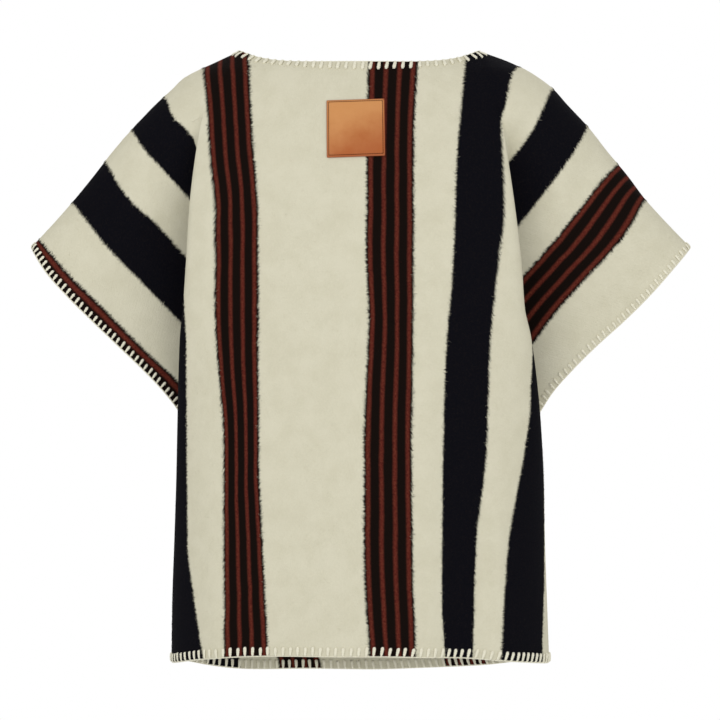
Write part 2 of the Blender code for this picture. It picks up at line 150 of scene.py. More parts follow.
# Edges of the front body: the armhole folds down to the underarm, the silhouettes below it, in mm
# z, x left, x right, depth of the edge, depth of the middle
FRONT_BODY = [
    (4, -162, 152, 0, 58),
    (-22, -175, 158, 46, 64),
    (-43, -188, 165, 61, 77),
    (-65, -198, 172, 69, 88),
    (-87, -207, 178, 74, 98),
    (-145, -217, 187, 88, 116),
    (-210, -224, 196, 96, 129),
    (-280, -228, 204, 98, 137),
    (-335, -232, 208, 94, 142),
    (-370, -236, 216, 86, 144),
    (-430, -239, 225, 68, 146),
    (-490, -241, 231, 54, 148),
    (-560, -243, 235, 42, 150),
    (-640, -246, 237, 32, 152),
    (-720, -249, 240, 25, 154),
    (-797, -250, 243, 20, 156),
]

# Inner edge of each armhole fold, from its tip to the underarm: z, x left, x right, depth, in mm
INNER_FOLD = [
    (-87, -207, 178, 74),
    (-115, -212, 183, 74),
    (-145, -199, 172, 74),
    (-175, -184, 160, 73),
    (-210, -169, 148, 68),
    (-280, -149, 130, 48),
    (-335, -143, 122, 22),
    (-370, -141, 121, 0),
]

# Side seams of the body below the underarm: z, x left, x right, in mm
SIDE_SEAM = [
    (-370, -141, 121),
    (-397, -146, 126),
    (-424, -160, 141),
    (-451, -178, 160),
    (-478, -192, 176),
    (-505, -204, 189),
    (-547, -222, 208),
    (-590, -235, 221),
    (-660, -243, 233),
    (-797, -249, 242),
]

# Lower seams of the sleeves: z, x left, x right, in mm
SLEEVE_SEAM = [
    (-370, -141, 121),
    (-397, -177, 158),
    (-424, -197, 181),
    (-451, -209, 196),
    (-484, -218, 209),
]

# Soft flutes that deepen towards the hem: x, depth, half width, in mm
FRONT_FLUTES = [
    (-190, 7, 26),
    (-95, -6, 42),
    (70, 7, 36),
    (128, -8, 26),
    (186, 6, 26),
]
FLUTE_TOP = -430 * MM
FLUTE_GROWTH = 1.3              # above 1 they deepen mostly near the hem

# Soft creases: x and z of one end, x and z of the other, depth (a trough is below 0), half width
FRONT_CREASES = [
    (148, -560, 160, -800, -5.0, 13),
    (172, -590, 180, -800, 3.5, 11),
    (106, -330, 100, -690, -2.6, 13),
    (-196, -150, -204, -330, 1.6, 10),
    (-90, -440, -70, -720, -2.2, 24),
    (-20, -250, -46, -520, 1.6, 30),
    (60, -120, 88, -300, -1.4, 22),
    (-120, -60, -100, -240, -1.5, 20),
    (30, -520, 24, -780, 1.5, 26),
    (-284, -108, -232, -205, -3.6, 15),
    (-332, -176, -262, -290, 2.4, 17),
    (-378, -250, -300, -350, -2.2, 16),
    (310, -120, 252, -238, -4.6, 16),
    (352, -196, 268, -306, 2.6, 18),
    (392, -262, 300, -366, -2.4, 18),
    (268, -96, 216, -160, 2.0, 15),
]

# Where the stripe edges run, seen from the front, on the plane through the shoulders
# place across the flat cloth in mm from its middle: (z, x) down the stripe edge, in mm
SLEEVE_LINES = {
    -525: [(-244, -426), (-286, -390), (-333, -343), (-397, -279), (-428, -246), (-484, -192)],
    -460: [(-196, -381), (-254, -336), (-302, -289), (-356, -237), (-428, -169)],
    -391: [(-142, -339), (-191, -308), (-223, -273), (-268, -232), (-339, -169)],
    -336: [(-100, -304), (-128, -285), (-159, -256), (-191, -227), (-257, -169)],
    -273: [(-57, -258), (-80, -251), (-96, -235), (-112, -222), (-133, -207), (-191, -162)],
    207: [(-16, 204), (-21, 197), (-46, 191), (-62, 188), (-87, 181)],
    262: [(-46, 248), (-80, 233), (-112, 215), (-144, 190), (-202, 141)],
    331: [(-94, 297), (-128, 277), (-175, 244), (-223, 207), (-290, 154)],
    389: [(-144, 336), (-159, 320), (-207, 282), (-254, 244), (-294, 208), (-369, 141)],
    455: [(-192, 371), (-239, 344), (-286, 302), (-333, 260), (-381, 223), (-461, 154)],
}
FRONT_LINES = {
    -336: [(-88, -330), (-333, -262), (-560, -260), (-810, -255)],
    -273: [
        (-88, -262), (-207, -249), (-270, -240), (-333, -233), (-650, -230), (-713, -222), (-810, -207),
    ],
    -211: [(-17, -210), (-65, -206), (-128, -202), (-207, -195), (-333, -195), (-523, -183), (-810, -183)],
    -150: [(0, -150), (-65, -148), (-128, -144), (-207, -138), (-523, -137), (-650, -132), (-810, -123)],
    8: [(0, 7), (-128, 5), (-270, 4), (-333, 7), (-523, 1), (-650, 1), (-810, 9)],
    71: [(0, 73), (-65, 69), (-128, 67), (-333, 67), (-523, 65), (-650, 66), (-810, 71)],
    137: [
        (0, 136), (-65, 130), (-128, 124), (-270, 119),
        (-397, 109), (-523, 105), (-713, 103), (-810, 109),
    ],
    207: [(-88, 181), (-207, 185), (-270, 178), (-397, 166), (-523, 162), (-650, 148), (-810, 144)],
    262: [(-88, 242), (-207, 236), (-333, 221), (-460, 220), (-523, 212), (-650, 190), (-810, 180)],
    331: [(-88, 305), (-207, 291), (-333, 262), (-397, 248), (-460, 240), (-523, 236), (-810, 235)],
}

# Place across the cloth along each shoulder line: z, left, right, in mm
SHOULDER_ACROSS = [
    (4, -162, 154),
    (-17, -208, 207),
    (-46, -256, 262),
    (-57, -273, 278),
    (-97, -332, 335),
    (-143, -393, 388),
    (-192, -455, 455),
    (-244, -525, 522),
    (-254, -543, 534),
]
EDGE_SPREAD = 2.0               # mm of cloth for each mm past the silhouette, where it turns away
EDGE_MARGIN = 8.0               # mm inside the silhouette over which the reading is evened out
READING_RUN = 110 * MM          # below the fold's tip it comes to follow the cloth over this height
SIDE_LIMIT = 380.0              # the side seams are cut in the cream past the outer black stripe
SLEEVE_SPREAD = 0.76            # the stripes cross a sleeve's rows aslant
END_CLEARANCE = 2.0             # mm by which a stripe edge must clear the end of a row
LEFT_CUFF = -543
RIGHT_CUFF = 534

# Where the camera stands, which the stripe lines above are seen from
VIEW_DISTANCE = 5.0
VIEW_X = -4 * MM
VIEW_Z = -402 * MM


def smooth_column(table, column, unit=MM):
    """Return a smooth function of z through one column of a table whose first column is z."""
    rows = sorted(table)
    knots = np.array([row[0] for row in rows]) * MM
    values = np.array([row[column] for row in rows]) * unit
    steps = np.diff(knots)
    slopes = np.diff(values) / steps
    tangents = np.empty_like(values)
    tangents[0] = slopes[0]
    tangents[-1] = slopes[-1]
    for i in range(1, len(values) - 1):
        before, after = slopes[i - 1], slopes[i]
        tangents[i] = 0.0 if before * after <= 0 else 2 * before * after / (before + after)

    def value(z):
        z = min(max(z, knots[0]), knots[-1])
        i = min(int(np.searchsorted(knots, z, side="right")) - 1, len(steps) - 1)
        t = (z - knots[i]) / steps[i]
        rise = (2 * t - 3) * t * t
        return (
            (1 + rise) * values[i]
            - rise * values[i + 1]
            + (t - 1) ** 2 * t * steps[i] * tangents[i]
            + (t - 1) * t * t * steps[i] * tangents[i + 1]
        )

    return value


def clamp(value):
    """The value, held between 0 and 1."""
    return min(max(value, 0.0), 1.0)


def ease(share):
    """The share with a soft start and a soft end."""
    return share * share * (3 - 2 * share)


def bezier(p0, p1, p2, p3, count):
    """Points along a cubic curve, both ends included."""
    points = []
    for t in np.linspace(0.0, 1.0, count + 1):
        a, b, c, d = (1 - t) ** 3, 3 * t * (1 - t) ** 2, 3 * t * t * (1 - t), t ** 3
        points.append(tuple(a * p0[i] + b * p1[i] + c * p2[i] + d * p3[i] for i in range(2)))
    return points


def seen_from_front(point):
    """Where a point shows on the plane through the shoulders, in mm."""
    nearer = VIEW_DISTANCE / (VIEW_DISTANCE + point.y)
    x = VIEW_X + (point.x - VIEW_X) * nearer
    z = VIEW_Z + (point.z - VIEW_Z) * nearer
    return x / MM, z / MM


def columns_across():
    """Where the body's columns lie, from -1 at its left edge to 1 at its right one."""
    return [math.sin(step * math.pi / 2) for step in np.linspace(-1.0, 1.0, BODY_COLUMNS + 1)]


class StripeLines:
    """The edges of the woven stripes as they run down one part of the garment."""

    def __init__(self, lines):
        self.lines = []
        for across, places in lines.items():
            rows = sorted(places)
            heights = smooth_column(rows, 1)
            self.lines.append((across, rows[0][0], rows[-1][0], heights))

    def crossings(self, z):
        """Pairs of x and place across the cloth where the stripe edges pass this height, in mm."""
        found = []
        for across, low, high, place in self.lines:
            if low <= z <= high:
                found.append((place(z * MM) / MM, across))
        return found


def read_across(knots, x, spread):
    """Place across the cloth at x, between the nearest stripe edges or run on past the last."""
    if x <= knots[0][0]:
        return knots[0][1] + (x - knots[0][0]) * spread
    if x >= knots[-1][0]:
        return knots[-1][1] + (x - knots[-1][0]) * spread
    for (x0, a0), (x1, a1) in zip(knots, knots[1:]):
        if x <= x1:
            return a0 + (a1 - a0) * (x - x0) / max(x1 - x0, 1e-6)
    return knots[-1][1]


class PanelSide:
    """The lines that bound the left (-1) or the right (+1) half of a panel."""

    def __init__(self, sign, body_table):
        column = 1 if sign < 0 else 2
        self.sign = sign
        self.shoulder = smooth_column(SHOULDER, column)
        self.cuff = smooth_column(CUFF, column)
        self.edge = smooth_column(body_table, column)
        self.inner = smooth_column(INNER_FOLD, column)
        self.seam = smooth_column(SIDE_SEAM, column)
        self.sleeve_seam = smooth_column(SLEEVE_SEAM, column)
        self.shoulder_across = smooth_column(SHOULDER_ACROSS, column, 1.0)
        self.cuff_across = LEFT_CUFF if sign < 0 else RIGHT_CUFF
        heights = np.linspace(SHOULDER[0][0], SHOULDER[-1][0], SHOULDER_STEPS) * MM
        self.line = np.array([(self.shoulder(z), z) for z in heights])
        steps = np.hypot(*np.diff(self.line, axis=0).T)
        self.along = np.concatenate([[0.0], np.cumsum(steps)])

    def outer(self, z):
        """Outer boundary of the sleeve at this height: the shoulder line, then the cuff edge."""
        return self.shoulder(z) if z > CUFF[0][0] * MM else self.cuff(z)

    def sleeve_depth(self, x, z, crease=0.0):
        """Half thickness of the hanging sleeve, a teardrop below the shoulder line."""
        gaps = np.hypot(self.line[:, 0] - x, self.line[:, 1] - z)
        nearest = int(np.argmin(gaps))
        below = gaps[nearest]
        run = self.along[nearest] - SLEEVE_THIN_START
        share = clamp(run / (self.along[-1] - SLEEVE_THIN_START))
        crown = SLEEVE_DEPTH_BODY + share * (SLEEVE_DEPTH_CUFF - SLEEVE_DEPTH_BODY)
        if below < SLEEVE_CROWN:
            depth = crown * math.sqrt(max(1 - (1 - below / SLEEVE_CROWN) ** 2, 0.0))
        else:
            fall = (below - SLEEVE_CROWN) / (SLEEVE_DROP - SLEEVE_CROWN)
            depth = crown * (1 - SLEEVE_THINNING * min(fall, 1.0) ** THINNING_TURN)
        depth *= 1 - self.hollow(x, z) * min(below / SLEEVE_CROWN, 1.0)
        return depth + crease * min(below / CREASE_FADE, 1.0)

    def hollow(self, x, z):
        """Share by which the sleeve sinks in beside and behind the armhole fold."""
        start = TIP_Z + HOLLOW_START
        grown = ease(clamp((start - z) / HOLLOW_RUN))
        away = max(self.sign * (x - self.edge(z)), 0.0)
        return SLEEVE_HOLLOW * grown * math.exp(-(away / HOLLOW_WIDTH) ** 2)


class WoolPanel:
    """One cloth panel as a surface of points that know their place in the striped cloth."""

    def __init__(self, facing, body_table, flutes, creases, stripe_lines, length):
        self.facing = facing
        self.flutes = flutes
        self.creases = creases
        self.length = length
        self.left = PanelSide(-1, body_table)
        self.right = PanelSide(1, body_table)
        self.edge_depth = smooth_column(body_table, 3)
        self.middle_depth = smooth_column(body_table, 4)
        self.inner_depth = smooth_column(INNER_FOLD, 3)
        self.body_lines = StripeLines(stripe_lines)
        self.sleeve_lines = StripeLines(SLEEVE_LINES)
        self.points = []
        self.across = []
        self.faces = []
        self.seam_points = set()
        self.hidden = set()
        self.underarms = {}
        self.cuff_edges = {-1: [], 1: []}
        self.neck_edge = []
        self.hem_edge = []

    def add(self, x, depth, z, seam=False):
        """Add a point and return its number. Depth runs outward from the shoulder plane."""
        depth = max(depth, SEAM_GAP / 2)
        self.points.append(Vector((x, self.facing * depth, z)))
        self.across.append(0.0)
        number = len(self.points) - 1
        if seam:
            self.seam_points.add(number)
        return number

    def flute(self, x, z):
        """Depth that the soft folds of the skirt add."""
        share = clamp((FLUTE_TOP - z) / (FLUTE_TOP + SIDE_LENGTH))
        total = 0.0
        for centre, depth, width in self.flutes:
            total += depth * MM * math.exp(-((x / MM - centre) / width) ** 2)
        return total * share ** FLUTE_GROWTH

    def crease(self, x, z):
        """Depth of the creases at a place, and of the slight unevenness of milled cloth."""
        x, z = x / MM, z / MM
        total = 0.0
        for x0, z0, x1, z1, depth, width in self.creases:
            run_x, run_z = x1 - x0, z1 - z0
            share = ((x - x0) * run_x + (z - z0) * run_z) / (run_x ** 2 + run_z ** 2)
            if not 0 < share < 1:
                continue
            off = math.hypot(x - x0 - share * run_x, z - z0 - share * run_z)
            taper = math.sin(share * math.pi) ** CREASE_TAPER
            total += depth * taper * math.exp(-(off / width) ** 2)
        for wide, high, deep, layer in CLOTH_WAVES:
            total += deep * noise.noise(Vector((x / wide, layer * self.facing, z / high)))
        return total * MM

    def body_depth(self, x, z):
        """Depth of the body cloth between its two edges."""
        left, right = self.left.edge(z), self.right.edge(z)
        across = (2 * x - left - right) / (right - left)
        rest = max(1 - abs(across) ** BODY_SQUARENESS, 0.0)
        edge, middle = self.edge_depth(z), self.middle_depth(z)
        turned = clamp((TIP_Z - z) / FOLD_ROUND_RUN)
        bulge = rest ** (1 - EDGE_ROUNDING * turned)
        calm = min(EDGE_CALM * rest, 1.0)
        return edge + (middle - edge) * bulge + (self.flute(x, z) + self.crease(x, z)) * calm

    def hem_shift(self, across, z):
        """The hem runs from its length at the side seams to the panel's own in the middle."""
        share = clamp((SLEEVE_END_Z - z) / (SLEEVE_END_Z + SIDE_LENGTH))
        turn = HEM_TURN_LEFT if across < 0 else HEM_TURN_RIGHT
        return share * (SIDE_LENGTH - self.length) * (1 - abs(across) ** turn)

    def body_row(self, z):
        """Body points from the left edge to the right edge at one height."""
        left, right = self.left.edge(z), self.right.edge(z)
        numbers = []
        for across in columns_across():
            x = (left + right) / 2 + across * (right - left) / 2
            numbers.append(self.add(x, self.body_depth(x, z), z + self.hem_shift(across, z)))
        return numbers

    def neck_row(self):
        """Top edge of the body, the neckline, between the two neck corners."""
        top = SHOULDER[0][0] * MM
        numbers = []
        for across in columns_across():
            x = (NECK_LEFT + NECK_RIGHT) / 2 + across * (NECK_RIGHT - NECK_LEFT) / 2
            hollow = 1 - abs(across) ** NECK_SQUARENESS
            depth = NECK_HALF_DEPTH * math.sqrt(max(1 - across * across, 0.0))
            at_corner = abs(across) == 1.0
            numbers.append(self.add(x, depth, top - NECK_DIP * hollow, at_corner))
        return numbers

    def sleeve_row(self, side, start, z):
        """Sleeve points from beside the body out to the shoulder line or the cuff edge."""
        first = self.points[start].x
        last = side.outer(z)
        on_seam = z > CUFF[0][0] * MM - SEAM_GAP
        numbers = []
        even = clamp((CUFF[0][0] * MM - z) / (CUFF[0][0] * MM - UNDERARM_Z))
        for step in range(1, SLEEVE_COLUMNS + 1):
            share = step / SLEEVE_COLUMNS
            share += SHOULDER_CROWDING * (1 - even) * (math.sin(share * math.pi / 2) - share)
            x = first + (last - first) * share
            end = step == SLEEVE_COLUMNS and on_seam
            crease = self.crease(x, z) * min(abs(x - first) / CREASE_FADE, 1.0)
            numbers.append(self.add(x, 0.0 if end else side.sleeve_depth(x, z, crease), z, end))
        return numbers

    def shoulder_row(self, side, start):
        """First row of the sleeve, along the shoulder line from the neck corner."""
        top = self.points[start].z
        low = SHOULDER[0][0] * MM - NECK_DIP
        numbers = []
        for step in range(1, SLEEVE_COLUMNS + 1):
            z = top + (low - top) * step / SLEEVE_COLUMNS
            numbers.append(self.add(side.shoulder(z), 0.0, z, True))
            self.across[-1] = side.shoulder_across(z)
        return numbers

    def fold_rows(self, side, edge, z):
        """The armhole fold: under the body edge to its inner edge, then out to the sleeve."""
        x_edge, y_edge = self.points[edge].x, self.edge_depth(z)
        x_inner, y_inner = side.inner(z), self.inner_depth(z)
        x_inner = side.sign * min(side.sign * x_inner, side.sign * x_edge)
        turn = y_edge - y_inner
        under = bezier(
            (x_edge, y_edge),
            (x_edge, y_edge - FOLD_OVER * turn),
            (x_inner, y_inner + FOLD_UNDER * turn),
            (x_inner, y_inner),
            FOLD_COLUMNS,
        )
        x_out = x_edge + side.sign * TIP_SPREAD * max(1 - (TIP_Z - z) / TIP_RUN, 0.0)
        y_out = side.sleeve_depth(x_out, z)
        x_part = x_out + FOLD_PART * (x_inner - x_out)
        out = bezier(
            (x_inner, y_inner),
            (x_inner, y_inner - FOLD_OUT * max(y_inner - y_out, 0.0)),
            (x_part, side.sleeve_depth(x_part, z)),
            (x_out, y_out),
            FOLD_COLUMNS,
        )
        at_underarm = z <= UNDERARM_Z + 1e-9
        body = [edge] + [self.add(x, y, z) for x, y in under[1:-1]]
        inner = self.add(x_inner, y_inner, z, at_underarm)
        sleeve = [inner] + [self.add(x, y, z) for x, y in out[1:]]
        self.hidden.update(body[1:] + [inner] + sleeve[1:-1])
        if at_underarm:
            self.underarms[inner] = side
        return body + [inner], sleeve

    def side_row(self, side, edge, z, z_edge):
        """Below the underarm: from the silhouette back to the side seam."""
        x_edge, y_edge = self.points[edge].x, self.edge_depth(z)
        x_seam = side.seam(z)
        under = bezier(
            (x_edge, y_edge),
            (x_edge, SIDE_TURN * y_edge),
            (x_seam, SIDE_REACH * y_edge),
            (x_seam, 0.0),
            FOLD_COLUMNS,
        )
        body = [self.add(x, y, z_edge) for x, y in under[1:-1]]
        row = [edge] + body + [self.add(x_seam, 0.0, z_edge, True)]
        for before, here in zip(row, row[1:]):
            step = (self.points[here] - self.points[before]).length / MM
            place = self.across[before] + side.sign * step
            self.across[here] = side.sign * min(side.sign * place, SIDE_LIMIT)
        return row

    def lower_sleeve_row(self, side, z):
        """Below the underarm: the sleeve from its lower seam out to the cuff edge."""
        x_seam, x_cuff = side.sleeve_seam(z), side.cuff(z)
        x_part = (x_seam + x_cuff) / 2
        lower = (UNDERARM_Z - z) / (UNDERARM_Z - SLEEVE_END_Z)
        round_width = UNDERARM_ROUND + lower * (SEAM_ROUND - UNDERARM_ROUND)
        row = [self.add(x_seam, 0.0, z, True)]
        shares = [1 - math.cos(i / FOLD_COLUMNS * math.pi / 2) for i in range(1, FOLD_COLUMNS + 1)]
        places = [x_seam + (x_part - x_seam) * share for share in shares]
        places += [x_part + (x_cuff - x_part) * i / SLEEVE_COLUMNS for i in range(1, SLEEVE_COLUMNS + 1)]
        for x in places:
            turn = min(abs(x - x_seam) / round_width, 1.0)
            round_off = 1 - (1 - turn) ** 2
            crease = self.crease(x, z) * min(abs(x - x_seam) / CREASE_FADE, 1.0)
            row.append(self.add(x, side.sleeve_depth(x, z, crease) * round_off, z))
        self.read_row(row[::side.sign], [self.sleeve_lines], [(row[-1], side.cuff_across)])
        return row

    def read_row(self, numbers, groups, ends):
        """Read each point's place across the cloth from the stripe edges that pass its height.

        Between two edges the reading grows evenly with x. Further down the body it grows with the
        length of the cloth, so the weave isn't stretched where the cloth turns away.
        """
        seen = [seen_from_front(self.points[number]) for number in numbers]
        known = [(seen_from_front(self.points[number])[0], across) for number, across in ends]
        on_body = groups == [self.body_lines] and not ends
        below = clamp((TIP_Z - self.points[numbers[0]].z) / READING_RUN)
        follow = ease(below) if on_body else 0.0
        lengths = self.run_lengths(numbers)
        places = np.maximum.accumulate([x + 1e-4 * i for i, (x, _) in enumerate(seen)])
        steps = [x + follow * (run - x) for (x, _), run in zip(seen, lengths)]

        def run(x):
            """How far along the row a stripe edge lies, also where it is out of sight."""
            first, last = places[0], places[-1]
            margins = (first, first + EDGE_MARGIN, last - EDGE_MARGIN, last)
            if margins[1] < x < margins[2]:
                length = float(np.interp(x, places, lengths))
            else:
                length = float(np.interp(x, margins, np.interp(margins, places, lengths)))
                length += (x - min(max(x, first), last)) * EDGE_SPREAD
            return x + follow * (length - x)

        on_sleeve = groups == [self.sleeve_lines]
        for number, (_, z), step in zip(numbers, seen, steps):
            knots = [knot for lines in groups for knot in lines.crossings(z)]
            if on_sleeve:
                knots = [knot for knot in knots if knot[1] * known[0][1] > 0]
            for x_end, across in known:
                side = 1 if across > 0 else -1
                reach = side * x_end - END_CLEARANCE
                knots = [k for k in knots if side * k[0] < reach and side * k[1] < side * across]
            knots = sorted((run(x), across) for x, across in knots + known)
            if on_sleeve and len(knots) > 1 and not knots[0][0] <= step <= knots[-1][0]:
                (s0, a0), (s1, a1) = knots[:2] if step < knots[0][0] else knots[-2:]
                self.across[number] = a0 + (a1 - a0) / max(s1 - s0, 1e-6) * (step - s0)
            else:
                self.across[number] = read_across(knots, step, SLEEVE_SPREAD if on_sleeve else 1.0)

    def run_lengths(self, numbers):
        """Length of cloth from the first point of a run to each of its points, in mm."""
        lengths = [0.0]
        for before, here in zip(numbers, numbers[1:]):
            lengths.append(lengths[-1] + (self.points[here] - self.points[before]).length / MM)
        return lengths

    def share_out(self, numbers):
        """Spread the reading evenly along a folded run between its two known ends."""
        steps = self.run_lengths(numbers)
        first, last = self.across[numbers[0]], self.across[numbers[-1]]
        for number, step in zip(numbers[1:-1], steps[1:-1]):
            self.across[number] = first + (last - first) * step / max(steps[-1], 1e-9)

    def top_strip(self, z):
        """One row above the armhole folds, from shoulder line to shoulder line."""
        row = self.body_row(z)
        left = self.sleeve_row(self.left, row[0], z)
        right = self.sleeve_row(self.right, row[-1], z)
        ends = [(left[-1], self.left.shoulder_across(z)), (right[-1], self.right.shoulder_across(z))]
        self.read_row(left[::-1] + row + right, [self.body_lines, self.sleeve_lines], ends)
        return self.full_row(row, left, right)

    def armhole_strip(self, z):
        """One row beside the armholes: left sleeve, body with both folds, right sleeve."""
        row = self.body_row(z)
        self.read_row(row, [self.body_lines], [])
        sleeves = []
        folds = []
        for side, edge in ((self.left, row[0]), (self.right, row[-1])):
            under, out = self.fold_rows(side, edge, z)
            beside = self.sleeve_row(side, out[-1], z)
            on_shoulder = z > CUFF[0][0] * MM
            end = side.shoulder_across(z) if on_shoulder else side.cuff_across
            sleeve = [out[-1]] + beside
            self.read_row(sleeve[::side.sign], [self.sleeve_lines], [(beside[-1], end)])
            self.share_out(under + out[1:])
            if not on_shoulder or abs(z - CUFF[0][0] * MM) < SEAM_GAP:
                self.cuff_edges[side.sign].append(beside[-1])
            sleeves.append(out + beside)
            folds.append(under)
        return sleeves[0], folds[0][::-1] + row[1:-1] + folds[1], sleeves[1]

    def skirt_row(self, z):
        """One full body row below the underarm, from side seam to side seam."""
        row = self.body_row(z)
        self.read_row(row, [self.body_lines], [])
        under_left = self.side_row(self.left, row[0], z, self.points[row[0]].z)
        under_right = self.side_row(self.right, row[-1], z, self.points[row[-1]].z)
        return under_left[::-1] + row[1:-1] + under_right

    def full_row(self, row, left, right):
        """A row above the armhole folds, where the fold's columns have no width."""
        left_edge, right_edge = [row[0]] * FOLD_COLUMNS, [row[-1]] * FOLD_COLUMNS
        return (
            left_edge + [row[0]] + left,
            left_edge + row + right_edge,
            right_edge + [row[-1]] + right,
        )

    def build(self):
        """Make every row, then the faces between neighbouring rows."""
        self.neck_edge = self.neck_row()
        left = self.shoulder_row(self.left, self.neck_edge[0])
        right = self.shoulder_row(self.right, self.neck_edge[-1])
        corners = [
            (self.neck_edge[0], SHOULDER_ACROSS[0][1]),
            (self.neck_edge[-1], SHOULDER_ACROSS[0][2]),
        ]
        self.read_row(self.neck_edge, [self.body_lines], corners)
        strips = [self.full_row(self.neck_edge, left, right)]
        low = SHOULDER[0][0] * MM - NECK_DIP
        for z in np.linspace(low, TIP_Z, TOP_ROWS + 1)[1:]:
            strips.append(self.top_strip(z))
        cuff_top = CUFF[0][0] * MM
        beside_shoulder = np.linspace(TIP_Z, cuff_top, ARMHOLE_ROWS + 1)[1:]
        beside_cuff = np.linspace(cuff_top, UNDERARM_Z, CUFF_ROWS + 1)[1:]
        for z in np.concatenate([beside_shoulder, beside_cuff]):
            strips.append(self.armhole_strip(z))
        for z in np.linspace(UNDERARM_Z, SLEEVE_END_Z, LOWER_SLEEVE_ROWS + 1)[1:]:
            left = self.lower_sleeve_row(self.left, z)
            right = self.lower_sleeve_row(self.right, z)
            self.cuff_edges[-1].append(left[-1])
            self.cuff_edges[1].append(right[-1])
            strips.append((left, self.skirt_row(z), right))
        self.cuff_edges[-1] += left[-2::-1]
        self.cuff_edges[1] += right[-2::-1]
        for z in np.linspace(SLEEVE_END_Z, -SIDE_LENGTH, SKIRT_ROWS + 1)[1:]:
            strips.append((None, self.skirt_row(z), None))
        self.hem_edge = strips[-1][1]
        for above, below in zip(strips, strips[1:]):
            for upper, lower, flip in zip(above, below, (True, False, False)):
                if upper and lower:
                    self.join(upper, lower, flip)
        self.relax_yoke(YOKE_ROUNDS)

    def relax_yoke(self, rounds):
        """Ease the depth between body and sleeve above the armholes, where the cloth is one piece."""
        beside = {}
        for face in self.faces:
            for i, number in enumerate(face):
                beside.setdefault(number, set()).update((face[i - 1], face[(i + 1) % len(face)]))
        fixed = self.seam_points.union(self.neck_edge)
        loose = [i for i, p in enumerate(self.points) if p.z > TIP_Z + EASE_END and i not in fixed]
        for _ in range(rounds):
            depths = {}
            for i in loose:
                weights = [1 / max((self.points[j] - self.points[i]).length, 1e-5) for j in beside[i]]
                total = sum(w * self.points[j].y for w, j in zip(weights, beside[i]))
                depths[i] = (1 - YOKE_EASE) * self.points[i].y + YOKE_EASE * total / sum(weights)
            for i, depth in depths.items():
                self.points[i].y = depth

    def join(self, upper, lower, flip):
        """Faces between two rows. A strip that runs outward to the left is turned over."""
        for j in range(len(upper) - 1):
            corners = [upper[j], lower[j], lower[j + 1], upper[j + 1]]
            corners = [c for i, c in enumerate(corners) if c != corners[i - 1]]
            if len(set(corners)) < 3:
                continue
            if flip != (self.facing > 0):
                corners.reverse()
            self.faces.append(corners)

    def measure_normals(self):
        """Outward direction at each point, long enough to keep the wall's thickness in a bend."""
        sums = [Vector((0, 0, 0)) for _ in self.points]
        around = [[] for _ in self.points]
        for face in self.faces:
            corners = [self.points[i] for i in face]
            normal = Vector((0, 0, 0))
            for i, corner in enumerate(corners):
                normal += corner.cross(corners[(i + 1) % len(corners)])
            normal.normalize()
            for i, number in enumerate(face):
                here = corners[i]
                a = corners[i - 1] - here
                b = corners[(i + 1) % len(face)] - here
                sums[number] += normal * a.angle(b, 0.0)
                around[number].append(normal)
        self.normals = []
        for number, total in enumerate(sums):
            if number in self.underarms:
                self.normals.append(self.underarm_normal(self.underarms[number]))
                continue
            if number in self.seam_points:
                total.y = 0.0
            total.normalize()
            facing = sum(max(total.dot(n), 0.0) for n in around[number]) / len(around[number])
            self.normals.append(total / max(facing, DRAWN_OUT))

    def underarm_normal(self, side):
        """At the underarm the wall points between the two seams that leave it."""
        z = UNDERARM_Z + (SLEEVE_END_Z - UNDERARM_Z) / 4
        start = Vector((side.inner(UNDERARM_Z), 0, UNDERARM_Z))
        down = (Vector((side.seam(z), 0, z)) - start).normalized()
        out = (Vector((side.sleeve_seam(z), 0, z)) - start).normalized()
        middle = (down + out).normalized()
        return middle / max(math.sin(down.angle(out) / 2), DRAWN_OUT_UNDERARM)

    def keep_clear(self, point):
        """Hold a point on its own side of the plane in which the two panels meet."""
        point.y = self.facing * max(self.facing * point.y, SEAM_GAP / 2)
        return point

    def along(self):
        """Distance of every point from the shoulder and neck line, in mm, down the stripes."""
        line = np.concatenate([self.left.line[::-1], self.right.line])
        result = []
        for point in self.points:
            result.append(float(np.hypot(line[:, 0] - point.x, line[:, 1] - point.z).min()) / MM)
        return result

    def wall(self, name, material):
        """The cloth as one closed thin wall, with its place in the weave kept on every point."""
        count = len(self.points)
        self.measure_normals()
        outside = [self.keep_clear(p + n * (WALL / 2)) for p, n in zip(self.points, self.normals)]
        inside = [self.keep_clear(p - n * (WALL / 2)) for p, n in zip(self.points, self.normals)]
        faces = [tuple(face) for face in self.faces]
        edges = set()
        for face in self.faces:
            for i, number in enumerate(face):
                edges.add((number, face[(i + 1) % len(face)]))
        faces += [tuple(count + i for i in reversed(face)) for face in self.faces]
        faces += [(b, a, count + a, count + b) for a, b in sorted(edges) if (b, a) not in edges]
        mesh = new_mesh(name, outside + inside, faces)
        woven = [value for pair in zip(self.across, self.along()) for value in (*pair, 0.0)]
        mark_points(mesh, "cloth", woven * 2)
        return finish_piece(mesh, name, material)


def new_mesh(name, points, faces):
    """A mesh of these points and faces."""
    mesh = bpy.data.meshes.new(name)
    mesh.from_pydata(points, [], faces)
    return mesh


def mark_points(mesh, name, values):
    """Keep three numbers on every point, for the material to read."""
    mesh.attributes.new(name, "FLOAT_VECTOR", "POINT").data.foreach_set("vector", values)


def put_in_scene(name, data):
    """A new object in the scene that shows a mesh, a lamp or a camera."""
    made = bpy.data.objects.new(name, data)
    bpy.context.scene.collection.objects.link(made)
    return made


def finish_piece(mesh, name, material):
    """Put a mesh in the scene as a smooth-shaded piece that rides on the garment's one body."""
    mesh.materials.append(material)
    mesh.shade_smooth()
    mesh.set_sharp_from_angle(angle=SHARP_ANGLE)
    piece = put_in_scene(name, mesh)
    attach(piece, "root")
    return piece


